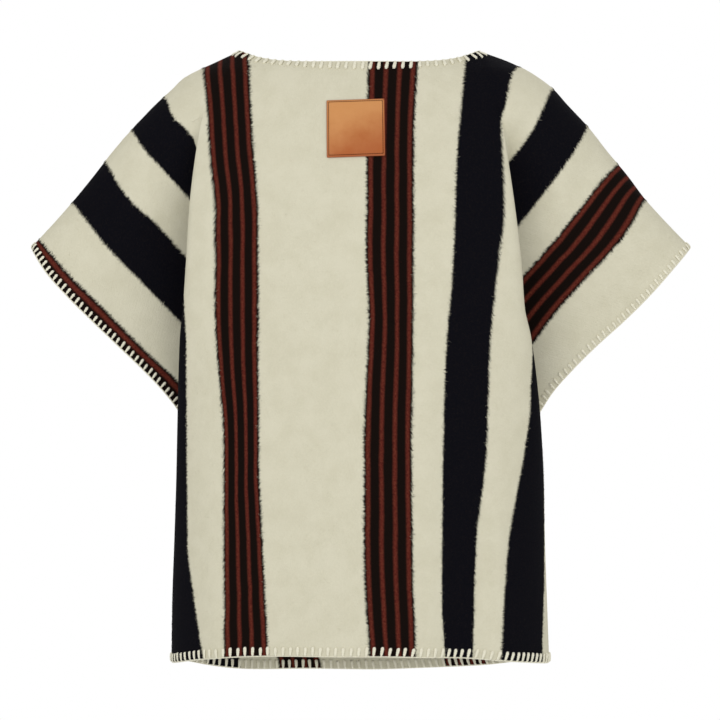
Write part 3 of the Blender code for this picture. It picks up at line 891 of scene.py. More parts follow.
# Woven stripes: first and last edge across the cloth, in mm from its middle
BLACK_STRIPES = [(-460, -391), (-336, -273), (137, 207), (262, 331)]
RUST_STRIPES = [(-588, -525), (-211, -150), (8, 71), (389, 455)]
RUST_LINES = (0.088, 0.362, 0.638, 0.905)   # middles of the four rust lines in a rust stripe
LINE_HALF = 0.041               # half width of a rust line, as a share of its stripe
LINE_SOFTNESS = 0.030
EDGE_SOFTNESS = 1.9             # mm over which one colour passes into the next
HAIR_REACH = 1.7                # mm that the brushed hairs reach over a stripe's edge
HAIR_SHORT = -0.8               # mm where they are shortest, which draws the edge back
HAIR_LAYERS = ((0.45, 0.0), (-0.25, 90.0))  # slope of each layer of hairs, place in the noise
HAIR_GRAIN = (0.05, 0.62)       # noise to a mm along a hair and across it
TUG = 1.6                       # mm by which single hairs move a stripe's edge
SWAY = 3.0                      # mm by which the edge wanders slowly
SWAY_GRAIN = (0.004, 0.022)     # noise to a mm across the cloth and along it
FELT_GRAIN = 34.0               # noise to a metre: cloudy felting, single flecks, raised pile
FLECK_GRAIN = 520.0
PILE_GRAIN = 300.0
PILE_HEIGHT = 1.2 * MM
CREAM = (0.665, 0.635, 0.495)
CREAM_SHADE = (0.615, 0.585, 0.445)
BLACK = (0.0040, 0.0040, 0.0062)
BLACK_SHADE = (0.0085, 0.0070, 0.0080)
WARM_BLACK = (0.0075, 0.0045, 0.0035)
RUST = (0.098, 0.0165, 0.0115)
RUST_SHADE = (0.132, 0.034, 0.019)


def add_node(tree, kind, inputs, **settings):
    """Add a shader node, with its settings, and set or link the inputs that are named."""
    made = tree.nodes.new(kind)
    for name, value in settings.items():
        setattr(made, name, value)
    for name, value in inputs.items():
        if isinstance(value, bpy.types.NodeSocket):
            tree.links.new(value, made.inputs[name])
        else:
            made.inputs[name].default_value = value
    return made


def reckon(tree, operation, a, b=0.0):
    """One sum on two numbers or sockets."""
    return add_node(tree, "ShaderNodeMath", {0: a, 1: b}, operation=operation).outputs[0]


def fade(tree, value, start, end, low=0.0, high=1.0):
    """A soft step from low to high as the value goes from start to end."""
    inputs = {"Value": value, "From Min": start, "From Max": end, "To Min": low, "To Max": high}
    return add_node(tree, "ShaderNodeMapRange", inputs, interpolation_type="SMOOTHSTEP").outputs[0]


def speckle(tree, place, scale, detail=3.0, roughness=0.55):
    """Plain noise at a scale, from 0 to 1 about a middle of 0.5."""
    inputs = {"Vector": place, "Scale": scale, "Detail": detail, "Roughness": roughness}
    return add_node(tree, "ShaderNodeTexNoise", inputs, noise_dimensions="3D").outputs[0]


def blend_colours(tree, share, first, second):
    """Mix two colours, given as sockets or as red, green and blue."""
    colours = [c if isinstance(c, bpy.types.NodeSocket) else (*c, 1.0) for c in (first, second)]
    made = add_node(tree, "ShaderNodeMix", {0: share, 6: colours[0], 7: colours[1]}, data_type="RGBA")
    return made.outputs[2]


def new_finish(name):
    """A new material, with its node tree and its one shader."""
    material = bpy.data.materials.new(name)
    material.use_nodes = True
    return material, material.node_tree, material.node_tree.nodes["Principled BSDF"]


def emboss(tree, shader, height, strength, distance):
    """Give the shader a bump of this height."""
    inputs = {"Strength": strength, "Distance": distance, "Height": height}
    bump = add_node(tree, "ShaderNodeBump", inputs)
    tree.links.new(bump.outputs[0], shader.inputs["Normal"])


def object_place(tree):
    """A place in the object's own space, for textures that run through the solid."""
    return add_node(tree, "ShaderNodeTexCoord", {}).outputs["Object"]


def stripe(tree, opening, closing, first, last):
    """1 inside a stripe and 0 outside it, with soft edges that the hairs reach over."""
    opened = fade(tree, opening, first - EDGE_SOFTNESS, first + EDGE_SOFTNESS)
    closed = fade(tree, closing, last - EDGE_SOFTNESS, last + EDGE_SOFTNESS)
    return reckon(tree, "SUBTRACT", opened, closed)


def brushed_stripe_wool():
    """Milled and brushed wool whose stripes follow the cloth's own coordinates."""
    material, tree, shader = new_finish("brushed_stripe_wool")
    woven = add_node(tree, "ShaderNodeAttribute", {}, attribute_name="cloth").outputs["Vector"]
    parts = add_node(tree, "ShaderNodeSeparateXYZ", {"Vector": woven})
    across, along = parts.outputs[0], parts.outputs[1]
    solid = object_place(tree)

    # Brushed hairs lie across the stripe edges, a little aslant, and carry the dark over them
    hairs = []
    for slope, offset in HAIR_LAYERS:
        aslant = reckon(tree, "ADD", along, reckon(tree, "MULTIPLY", across, slope))
        hair_place = add_node(tree, "ShaderNodeCombineXYZ", {
            "X": reckon(tree, "MULTIPLY", across, HAIR_GRAIN[0]),
            "Y": reckon(tree, "MULTIPLY", aslant, HAIR_GRAIN[1]),
            "Z": offset,
        }).outputs[0]
        hairs.append(speckle(tree, hair_place, 1.0, 2.5, 0.65))
    hair = hairs[0]
    reaches = [fade(tree, value, 0.34, 0.74, HAIR_SHORT, HAIR_REACH) for value in hairs]
    wobble_place = add_node(tree, "ShaderNodeCombineXYZ", {
        "X": reckon(tree, "MULTIPLY", across, SWAY_GRAIN[0]),
        "Y": reckon(tree, "MULTIPLY", along, SWAY_GRAIN[1]),
    }).outputs[0]
    wobble = speckle(tree, wobble_place, 1.0, 2.0)
    swayed = reckon(tree, "MULTIPLY", reckon(tree, "SUBTRACT", wobble, 0.5), SWAY)
    tugged = reckon(tree, "MULTIPLY", reckon(tree, "SUBTRACT", hair, 0.5), TUG)
    middle = reckon(tree, "ADD", across, reckon(tree, "ADD", swayed, tugged))
    opening = reckon(tree, "ADD", middle, reaches[0])
    closing = reckon(tree, "SUBTRACT", middle, reaches[1])

    dark = 0.0
    for first, last in BLACK_STRIPES + RUST_STRIPES:
        dark = reckon(tree, "ADD", dark, stripe(tree, opening, closing, first, last))
    rust, warm = 0.0, 0.0
    for first, last in RUST_STRIPES:
        share = reckon(tree, "MULTIPLY", reckon(tree, "SUBTRACT", middle, first), 1 / (last - first))
        for centre in RUST_LINES:
            off = reckon(tree, "ABSOLUTE", reckon(tree, "SUBTRACT", share, centre))
            line = fade(tree, off, LINE_HALF + LINE_SOFTNESS, LINE_HALF - LINE_SOFTNESS)
            rust = reckon(tree, "ADD", rust, line)
        warm = reckon(tree, "ADD", warm, stripe(tree, middle, middle, first, last))

    # Each colour is mottled with its own shade
    felt = speckle(tree, solid, FELT_GRAIN, 4.0, 0.6)
    flecks = speckle(tree, solid, FLECK_GRAIN, 3.0, 0.65)
    tone = fade(tree, reckon(tree, "ADD", felt, reckon(tree, "MULTIPLY", flecks, 0.7)), 0.6, 1.15)
    cream = blend_colours(tree, tone, CREAM, CREAM_SHADE)
    cool = blend_colours(tree, fade(tree, flecks, 0.45, 0.75), BLACK, BLACK_SHADE)
    black = blend_colours(tree, warm, cool, WARM_BLACK)
    russet = blend_colours(tree, fade(tree, flecks, 0.42, 0.72), RUST, RUST_SHADE)
    rust = reckon(tree, "MULTIPLY", rust, fade(tree, flecks, 0.30, 0.46, 0.5, 1.0))
    colour = blend_colours(tree, dark, cream, blend_colours(tree, rust, black, russet))
    tree.links.new(colour, shader.inputs["Base Color"])

    pile = speckle(tree, solid, PILE_GRAIN, 5.0, 0.7)
    height = reckon(tree, "ADD", pile, reckon(tree, "MULTIPLY", hair, 0.8))
    emboss(tree, shader, height, 0.55, PILE_HEIGHT)
    shader.inputs["Roughness"].default_value = 0.95
    shader.inputs["Specular IOR Level"].default_value = 0.02
    shader.inputs["Sheen Weight"].default_value = 0.008
    shader.inputs["Sheen Roughness"].default_value = 0.5
    return material


striped_wool = brushed_stripe_wool()
front = WoolPanel(-1, FRONT_BODY, FRONT_FLUTES, FRONT_CREASES, FRONT_LINES, FRONT_LENGTH)
front.build()
front_cloth = front.wall("front_wool", striped_wool)
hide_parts("front_panel")


# Back panel
# The same cloth folded over the shoulders and a little longer than the front. Its stripes swing
# to the right on their way down, as the hem that shows below the front one says.
BACK_LENGTH = 821 * MM          # origin to the cloth's edge in the middle of the back hem

# Edges of the back body, in mm, with the front's columns
BACK_BODY = [
    (4, -162, 152, 0, 58),
    (-22, -173, 157, 48, 68),
    (-43, -184, 162, 63, 82),
    (-65, -193, 167, 71, 94),
    (-87, -200, 172, 75, 103),
    (-145, -210, 180, 88, 116),
    (-210, -216, 188, 95, 124),
    (-280, -221, 195, 96, 131),
    (-335, -225, 200, 92, 138),
    (-370, -229, 208, 84, 142),
    (-430, -233, 218, 66, 148),
    (-490, -236, 225, 52, 153),
    (-560, -239, 230, 41, 157),
    (-640, -243, 234, 32, 161),
    (-720, -247, 238, 26, 164),
    (-797, -249, 242, 21, 166),
]
BACK_FLUTES = [
    (-170, -8, 34),
    (-80, 9, 38),
    (10, -7, 34),
    (95, 9, 36),
    (175, -7, 32),
]
BACK_CREASES = [
    (-60, -60, -96, -300, -3.0, 26),
    (40, -50, 74, -280, -2.6, 24),
    (-8, -180, 4, -420, 2.4, 30),
    (-150, -300, -140, -600, 2.8, 20),
    (120, -360, 134, -640, -3.0, 18),
    (-30, -520, -44, -800, -3.4, 22),
    (60, -560, 66, -810, 3.0, 20),
    (-280, -112, -226, -214, -4.0, 16),
    (-346, -200, -272, -310, 2.6, 18),
    (300, -126, 240, -230, -4.0, 16),
    (360, -214, 282, -320, 2.4, 18),
]
BACK_LINES = {
    -391: [(-97, -380), (-323, -345), (-560, -300), (-830, -252)],
    -336: [(-97, -300), (-323, -264), (-560, -248), (-830, -200)],
    -273: [(-97, -266), (-323, -241), (-560, -203), (-830, -158)],
    -211: [(-17, -210), (-87, -204), (-323, -186), (-560, -152), (-830, -107)],
    -150: [(0, -150), (-87, -146), (-323, -128), (-560, -95), (-830, -51)],
    8: [(0, 7), (-87, 5), (-323, 29), (-560, 66), (-830, 113)],
    71: [(0, 73), (-87, 69), (-323, 94), (-560, 128), (-830, 169)],
    137: [(0, 136), (-87, 128), (-323, 154), (-560, 188), (-830, 230)],
    207: [(-97, 181), (-323, 211), (-560, 246), (-830, 286)],
}

back = WoolPanel(1, BACK_BODY, BACK_FLUTES, BACK_CREASES, BACK_LINES, BACK_LENGTH)
back.build()
back_cloth = back.wall("back_wool", striped_wool)
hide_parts("back_panel")


# Brushed nap
# Both faces of the milled cloth are brushed, which leaves loose wisps of wool lying on it. They
# show most where the dark hairs of a stripe are carried over its edge on to the cream.
WISP_TRIALS = 200000            # places tried on each panel
WISP_SHARE = 0.012              # share of the wisps kept away from the stripe edges
WISP_REACH = 3.0                # mm from a stripe edge within which wisps are kept
WISP_LENGTH = (2.4, 5.8)        # mm
WISP_RADIUS = (0.09, 0.18)      # mm at the root
WISP_LIFT = (0.20, 0.75)        # mm that the middle of a wisp stands off the cloth
WISP_SLANT = 0.45               # how far the wisps lean along the stripes
WISP_SPREAD = 0.35              # and how much that lean varies
WISP_ROOT = 0.25                # mm that the roots sink into the cloth
WISP_BEND = 0.16                # sideways bend, as a share of the length
WISP_MIDDLE = (0.45, 0.75)      # where along its length a wisp bends, its thickness there
WISP_TIP = (0.2, 1.3)           # height of the tips, as a share of the middle's
CREAM_SHARE = 0.22              # share of the wisps rooted in cream that is kept
WISPS = 19000                   # most wisps on one panel


def brushed_nap(name, panel, seed):
    """Wisps of wool on one panel's outer face, each a closed, bent and tapering spike."""
    chance = np.random.default_rng(seed)
    points = np.array([tuple(p) for p in panel.points])
    normals = np.array([tuple(n.normalized()) for n in panel.normals])
    across, along = np.array(panel.across), np.array(panel.along())
    corners = []
    for face in panel.faces:
        if not panel.hidden.intersection(face):
            corners += [(face[0], face[i], face[i + 1]) for i in range(1, len(face) - 1)]
    corners = np.array(corners)
    side_a = points[corners[:, 1]] - points[corners[:, 0]]
    side_b = points[corners[:, 2]] - points[corners[:, 0]]
    areas = np.linalg.norm(np.cross(side_a, side_b), axis=1)
    picked = chance.choice(len(corners), size=WISP_TRIALS, p=areas / areas.sum())
    u, v = chance.random((2, WISP_TRIALS))
    over = u + v > 1
    u[over], v[over] = 1 - u[over], 1 - v[over]
    shares = np.stack([1 - u - v, u, v], axis=1)[:, :, None]
    corner = corners[picked]
    place = (across[corner] * shares[:, :, 0]).sum(axis=1)

    # Keep what lies near a stripe edge, mostly dark wisps, and a few others
    stripes = np.array(sorted(BLACK_STRIPES + RUST_STRIPES), dtype=float)
    edges = stripes.ravel()
    off = place[:, None] - edges[None, :]
    nearest = np.abs(off).argmin(axis=1)
    gap = off[np.arange(len(off)), nearest]
    dark = ((place[:, None] > stripes[:, 0]) & (place[:, None] < stripes[:, 1])).any(axis=1)
    luck = chance.random((2, WISP_TRIALS))
    near = (np.abs(gap) < WISP_REACH) & (dark | (luck[0] < CREAM_SHARE))
    kept = np.flatnonzero(near | (luck[1] < WISP_SHARE))[:WISPS]
    near, dark, gap, place, corner = near[kept], dark[kept], gap[kept], place[kept], corner[kept]
    shares = shares[kept]

    # Each wisp starts across the stripe edge next to it, the others in any direction
    a, b = side_a[picked[kept]], side_b[picked[kept]]
    rise_a = across[corner[:, 1]] - across[corner[:, 0]]
    rise_b = across[corner[:, 2]] - across[corner[:, 0]]
    aa, ab, bb = (a * a).sum(axis=1), (a * b).sum(axis=1), (b * b).sum(axis=1)
    scale = np.maximum(aa * bb - ab * ab, 1e-16)
    heading = ((rise_a * bb - rise_b * ab) / scale)[:, None] * a
    heading += ((rise_b * aa - rise_a * ab) / scale)[:, None] * b
    heading /= np.maximum(np.linalg.norm(heading, axis=1), 1e-9)[:, None]
    outward = (normals[corner] * shares).sum(axis=1)
    outward /= np.linalg.norm(outward, axis=1)[:, None]
    beside = np.cross(outward, heading)
    count = len(kept)
    lean = chance.normal(WISP_SLANT, WISP_SPREAD, count)
    turn = chance.uniform(0, 2 * math.pi, count)
    to_edge = np.where(near, -np.sign(gap), np.cos(turn))
    to_side = np.where(near, lean, np.sin(turn) + WISP_SLANT)
    direction = heading * to_edge[:, None] + beside * to_side[:, None]
    direction /= np.maximum(np.linalg.norm(direction, axis=1), 1e-9)[:, None]

    length = chance.uniform(*WISP_LENGTH, count)[:, None] * MM
    radius = chance.uniform(*WISP_RADIUS, count)[:, None] * MM
    lift = chance.uniform(*WISP_LIFT, count)[:, None] * MM
    sideways = np.cross(outward, direction)
    bend = sideways * chance.normal(0, WISP_BEND, count)[:, None] * length
    skin = (points[corner] * shares).sum(axis=1) + outward * (WALL / 2)
    root = skin - outward * (WISP_ROOT * MM)
    middle = skin + direction * length * WISP_MIDDLE[0] + outward * lift + bend
    tip = skin + direction * length + outward * lift * chance.uniform(*WISP_TIP, count)[:, None]
    rings = []
    for centre, size in ((root, 1.0), (middle, WISP_MIDDLE[1])):
        for k in range(3):
            angle = 2 * math.pi * k / 3
            rings.append(centre + (sideways * math.cos(angle) + outward * math.sin(angle)) * radius * size)
    wisps = np.stack(rings + [tip], axis=1)
    # Its seven points are three at the root, three in the middle and the tip
    pattern = [(0, 2, 1), (0, 1, 4, 3), (1, 2, 5, 4), (2, 0, 3, 5), (3, 4, 6), (4, 5, 6), (5, 3, 6)]
    faces = [tuple(7 * i + k for k in face) for i in range(count) for face in pattern]
    mesh = new_mesh(name, wisps.reshape(-1, 3).tolist(), faces)

    # A wisp takes the colour of the stripe that it is rooted in
    black, cream = sum(BLACK_STRIPES[0]) / 2, (BLACK_STRIPES[1][1] + RUST_STRIPES[1][0]) / 2
    colour_place = np.where(near, np.where(dark, black, cream), place)
    down = (along[corner] * shares[:, :, 0]).sum(axis=1)
    woven = np.stack([colour_place, down, np.zeros(count)], axis=1)
    mark_points(mesh, "cloth", np.repeat(woven, 7, axis=0).ravel())
    piece = finish_piece(mesh, name, striped_wool)
    return piece


front_nap = brushed_nap("front_nap", front, 21)
back_nap = brushed_nap("back_nap", back, 22)


# Blanket stitch
# Soft two-ply cream yarn worked over every raw edge: the neck, both cuffs and the hem. Each stitch
# is a bar on both faces of the cloth, and its loop runs along the edge to the next one.
NECK_YARN = 2.7 * MM            # half the width of the yarn as it lies in each edge's bars
CUFF_YARN = 2.1 * MM
HEM_YARN = 2.5 * MM
YARN_FLATNESS = 0.6             # its height there, as a share of its width
YARN_WAIST = 0.5                # and its width where it is pulled over the edge
YARN_SWELL = 0.75               # it is widest this far from the edge to the end of the bar
YARN_END = 0.55                 # its width where it dives into the cloth
YARN_HEIGHT = 0.7               # its middle lies this share of its half height above the cloth
YARN_RIM = 0.3                  # and this share of its half width beyond the edge
YARN_PLY = 0.16                 # depth of the grooves between the two plies
BAR_SIDES = 8
BAR_STEPS = 2                   # steps between two of its points
BAR_TWIST = 160                 # turns in a metre
CLOTH_REACH = 20 * MM           # the cloth under a bar is looked for from this far out
CORD_RADIUS = 1.15 * MM         # the yarn that runs along the edge
CORD_OUT = 0.1                  # mm that it lies outside the bars
CORD_STEPS = 5
CORD_SIDES = 7
CORD_TWIST = 140
PLAY = (0.7, 0.5, 0.35)         # hand-made unevenness in mm: length, lean and place of a bar
FIBRE_GRAIN = 900.0             # noise to a metre
FIBRE_HEIGHT = 0.4 * MM
YARN_COLOUR = (0.82, 0.79, 0.65)
YARN_SHADE = (0.71, 0.675, 0.52)

# How far the inner ends of the bars lean along the edge: x, lean, in mm
NECK_LEANS = [(-150, -1.0), (-40, -1.4), (60, -3.4), (110, -1.8), (150, -0.4)]
CUFF_LEANS = [(-430, -1.3), (430, -1.3)]
HEM_LEANS = [(-250, 0.4), (-60, 0.8), (60, 2.0), (240, 3.0)]

# A bar from its inner end to the edge: share of its length, lift in mm
BAR_SHAPE = [(1.0, -1.3), (0.93, 0.0), (0.72, 0.25), (0.48, 0.3), (0.24, 0.2), (0.06, 0.0)]


def soft_yarn(name, colour, shade, sheen):
    """Matt twisted yarn with a faint mottle and the fuzz of loose fibres."""
    material, tree, shader = new_finish(name)
    fibre = speckle(tree, object_place(tree), FIBRE_GRAIN, 3.0, 0.6)
    mottle = blend_colours(tree, fade(tree, fibre, 0.35, 0.7), colour, shade)
    tree.links.new(mottle, shader.inputs["Base Color"])
    emboss(tree, shader, fibre, 0.5, FIBRE_HEIGHT)
    shader.inputs["Roughness"].default_value = 0.9
    shader.inputs["Specular IOR Level"].default_value = 0.2
    shader.inputs["Sheen Weight"].default_value = sheen
    shader.inputs["Sheen Roughness"].default_value = 0.5
    return material


def lay_yarn(path, radius, sides, twist, closed=False, waist=1.0, beside=None, flatness=1.0):
    """Points and faces of a two-ply yarn along a path. Twist is its turns in a metre.

    Waist is the share of its thickness that is left halfway, where it is pulled over an edge.
    Beside is the way across a flattened yarn, and flatness its height as a share of its width.
    """
    count = len(path)
    points, faces = [], []
    normal = beside
    run = 0.0
    for i, here in enumerate(path):
        before = path[i - 1] if i or closed else here
        after = path[(i + 1) % count] if i + 1 < count or closed else here
        direction = (after - before).normalized()
        if normal is None:
            normal = direction.orthogonal()
        normal = (normal - direction * normal.dot(direction)).normalized()
        binormal = direction.cross(normal)
        if i:
            run += (here - path[i - 1]).length
        pulled = 1.0
        if waist < 1:
            away = abs(2 * i / (count - 1) - 1)
            pulled = waist + (1 - waist) * math.sin(min(away / YARN_SWELL, 1.0) * math.pi / 2)
            pulled -= (1 - YARN_END) * (max(away - YARN_SWELL, 0.0) / (1 - YARN_SWELL)) ** 2
        for k in range(sides):
            angle = 2 * math.pi * k / sides
            ply = 1 - YARN_PLY + YARN_PLY * math.cos(2 * (angle - run * twist * 2 * math.pi))
            way = normal * math.cos(angle) + binormal * (flatness * math.sin(angle))
            points.append(here + way * (radius * ply * pulled))
    rings = count if closed else count - 1
    for i in range(rings):
        a, b = i * sides, ((i + 1) % count) * sides
        for k in range(sides):
            n = (k + 1) % sides
            faces.append((a + k, a + n, b + n, b + k))
    if not closed:
        faces.append(tuple(reversed(range(sides))))
        faces.append(tuple((count - 1) * sides + k for k in range(sides)))
    return points, faces


def edge_places(front_numbers, back_numbers, pitch, inward_hint):
    """Evenly spaced places round an edge that both panels share: point, directions and panel."""
    stations = []
    for panel, numbers in ((front, front_numbers), (back, back_numbers[::-1])):
        for number in numbers:
            stations.append((panel.points[number], panel.normals[number].normalized(), panel))
    points = [s[0] for s in stations]
    lengths = [0.0]
    for i in range(len(points)):
        lengths.append(lengths[-1] + (points[(i + 1) % len(points)] - points[i]).length)
    total = lengths[-1]
    count = round(total / pitch)
    places = []
    for step in range(count):
        want = (step + 0.5) * total / count
        i = int(np.searchsorted(lengths, want)) - 1
        j = (i + 1) % len(points)
        share = (want - lengths[i]) / max(lengths[i + 1] - lengths[i], 1e-9)
        here = points[i].lerp(points[j], share)
        tangent = (points[j] - points[i]).normalized()
        outward = stations[i][1].lerp(stations[j][1], share).normalized()
        inward = outward.cross(tangent).normalized()
        if inward.dot(Vector(inward_hint)) < 0:
            inward.negate()
        places.append((here, tangent, outward, inward, stations[i][2]))
    return places


def blanket_stitch(name, places, length, radius, leans, seed):
    """One edge worked in blanket stitch: a bar over the edge at each place, and the edge cord."""
    chance = random.Random(seed)
    points, faces = [], []

    def join(made):
        start = len(points)
        points.extend(made[0])
        faces.extend(tuple(start + i for i in face) for face in made[1])

    height = WALL / 2 + radius * YARN_FLATNESS * YARN_HEIGHT
    cord = []
    for here, tangent, outward, inward, panel in places:
        reach = length + chance.uniform(-PLAY[0], PLAY[0]) * MM
        lean = np.interp(here.x / MM, [x for x, _ in leans], [value for _, value in leans])
        tilt = (float(lean) + chance.uniform(-PLAY[1], PLAY[1])) * MM
        slip = chance.uniform(-PLAY[2], PLAY[2]) * MM
        path = []
        for face in (1, -1):
            bar = []
            for share, lift in BAR_SHAPE:
                base = here + inward * (reach * share) + tangent * (tilt * share + slip)
                hit, normal, _, _ = panel.tree.ray_cast(
                    base + outward * CLOTH_REACH, -outward, 2 * CLOTH_REACH)
                if hit is None:
                    hit, normal = base + outward * WALL / 2, outward
                middle = hit - normal * WALL / 2
                bar.append(middle + normal * face * (height + lift * MM))
            path.append(bar)
        rim = here - inward * (radius * YARN_RIM) + tangent * slip
        whole = smooth_path(path[0] + [rim] + path[1][::-1], BAR_STEPS)
        join(lay_yarn(whole, radius, BAR_SIDES, BAR_TWIST, waist=YARN_WAIST, beside=tangent,
                      flatness=YARN_FLATNESS))
        cord.append(rim - inward * CORD_OUT * MM)
    loop = smooth_path(cord, CORD_STEPS, closed=True)
    join(lay_yarn(loop, CORD_RADIUS, CORD_SIDES, CORD_TWIST, closed=True))
    piece = finish_piece(new_mesh(name, points, faces), name, stitch_yarn)
    return piece


def smooth_path(points, steps, closed=False):
    """A smooth curve through the points, with so many steps between each two."""
    count = len(points)
    spans = count if closed else count - 1
    result = []
    for i in range(spans):
        p1, p2 = points[i], points[(i + 1) % count]
        p0 = points[i - 1] if i or closed else p1
        p3 = points[(i + 2) % count] if i + 2 < count or closed else p2
        for k in range(steps):
            t = k / steps
            result.append(
                0.5 * (2 * p1 + (p2 - p0) * t + (2 * p0 - 5 * p1 + 4 * p2 - p3) * t * t
                       + (3 * p1 - p0 - 3 * p2 + p3) * t ** 3)
            )
    if not closed:
        result.append(points[-1])
    return result


bpy.context.view_layer.update()
for panel, piece in ((front, front_cloth), (back, back_cloth)):
    panel.tree = BVHTree.FromObject(piece, bpy.context.evaluated_depsgraph_get())

stitch_yarn = soft_yarn("cream_stitch_yarn", YARN_COLOUR, YARN_SHADE, 0.2)
# Edges: name, its points on both panels, way inward, pitch and bar length in mm, yarn, leans, seed
neck_edges = (front.neck_edge, back.neck_edge)
left_edges = (front.cuff_edges[-1], back.cuff_edges[-1])
right_edges = (front.cuff_edges[1], back.cuff_edges[1])
hem_edges = (front.hem_edge, back.hem_edge)
STITCHED_EDGES = [
    ("neck_stitch", neck_edges, (0, 0, -1), 10.6, 12.0, NECK_YARN, NECK_LEANS, 3),
    ("left_cuff_stitch", left_edges, (0.75, 0, 0.66), 8.3, 8.4, CUFF_YARN, CUFF_LEANS, 5),
    ("right_cuff_stitch", right_edges, (-0.75, 0, 0.66), 8.8, 8.4, CUFF_YARN, CUFF_LEANS, 7),
    ("hem_stitch", hem_edges, (0, 0, 1), 9.8, 10.5, HEM_YARN, HEM_LEANS, 11),
]
for name, edges, way, pitch, length, yarn, leans, seed in STITCHED_EDGES:
    places = edge_places(*edges, pitch * MM, way)
    blanket_stitch(name, places, length * MM, yarn, leans, seed)


# Leather patch
# A square of tan vegetable-tanned leather, cut with slightly rounded corners and burnished edges,
# and sewn on high in the middle of the front.
PATCH_SIZE = 75 * MM
PATCH_THICK = 1.8 * MM
PATCH_GAP = 0.5 * MM            # pile of the wool between the cloth and the leather
PATCH_CENTRE = (-9.5 * MM, -103 * MM)
PATCH_TILT = math.radians(2.0)  # slope of its upper and lower edges
PATCH_SWAY = math.radians(0.5)  # and of its two sides
PATCH_CORNER = 0.9 * MM         # radius of the corners
PATCH_EDGE = 0.6 * MM           # rounding of the upper edge
PATCH_CELLS = 30                # faces along each side
BURNISH = 0.07                  # the burnished rim, as a share of the half width
PAINTED_HIGHLIGHT_SLANT = 0.2                 # painted highlight: the colour is lightest at the top, darker downward, and by this share darker to the right
CLOUD_GRAIN = 38.0              # noise to a metre
PORE_GRAIN = 1500.0
LEATHER_GRAIN = 900.0
GRAIN_HEIGHT = 0.3 * MM
TAN = (0.60, 0.262, 0.078)
# dark tan for the pores, and for the painted shade low and to the right on the patch
TAN_PORES_AND_PAINTED_SHADE = (0.40, 0.098, 0.012)
TAN_EDGE = (0.36, 0.095, 0.025)


def patch_point(across, down):
    """A place on the patch, from its centre, and the way out of the cloth there."""
    x = PATCH_CENTRE[0] + across * math.cos(PATCH_TILT) + down * math.sin(PATCH_SWAY)
    z = PATCH_CENTRE[1] + across * math.sin(PATCH_TILT) - down * math.cos(PATCH_SWAY)
    hit, normal, _, _ = front.tree.ray_cast(Vector((x, -1.0, z)), Vector((0, 1, 0)))
    return hit, normal


def tan_leather():
    """Tan leather with fine grain, a darker burnished edge, slight uneven colour, and a painted highlight
    that leaves it lighter at the top left and darker towards the bottom right.
    """
    material, tree, shader = new_finish("tan_leather")
    place = add_node(tree, "ShaderNodeAttribute", {}, attribute_name="leather").outputs["Vector"]
    parts = add_node(tree, "ShaderNodeSeparateXYZ", {"Vector": place})
    solid = object_place(tree)
    cloudy = speckle(tree, solid, CLOUD_GRAIN, 4.0, 0.6)
    # Painted highlight and shade: lighter at the top and left, darker down and to the right, clouded by
    # uneven colour
    lower = reckon(tree, "ADD", parts.outputs[1], reckon(tree, "MULTIPLY", cloudy, 0.6))
    tan = blend_colours(tree, fade(tree, lower, 0.35, 1.35), TAN, TAN_PORES_AND_PAINTED_SHADE)
    pores = speckle(tree, solid, PORE_GRAIN, 2.0, 0.5)
    tan = blend_colours(tree, fade(tree, pores, 0.55, 0.8, 0.0, 0.35), tan, TAN_PORES_AND_PAINTED_SHADE)
    tan = blend_colours(tree, fade(tree, parts.outputs[0], 0.6, 1.0), tan, TAN_EDGE)
    tree.links.new(tan, shader.inputs["Base Color"])
    grain = add_node(tree, "ShaderNodeTexVoronoi", {"Vector": solid, "Scale": LEATHER_GRAIN},
                     feature="DISTANCE_TO_EDGE").outputs["Distance"]
    height = reckon(tree, "ADD", fade(tree, grain, 0.0, 0.25), reckon(tree, "MULTIPLY", cloudy, 0.8))
    emboss(tree, shader, height, 0.35, GRAIN_HEIGHT)
    rough = fade(tree, cloudy, 0.3, 0.7, 0.42, 0.6)
    tree.links.new(rough, shader.inputs["Roughness"])
    shader.inputs["Specular IOR Level"].default_value = 0.4
    return material


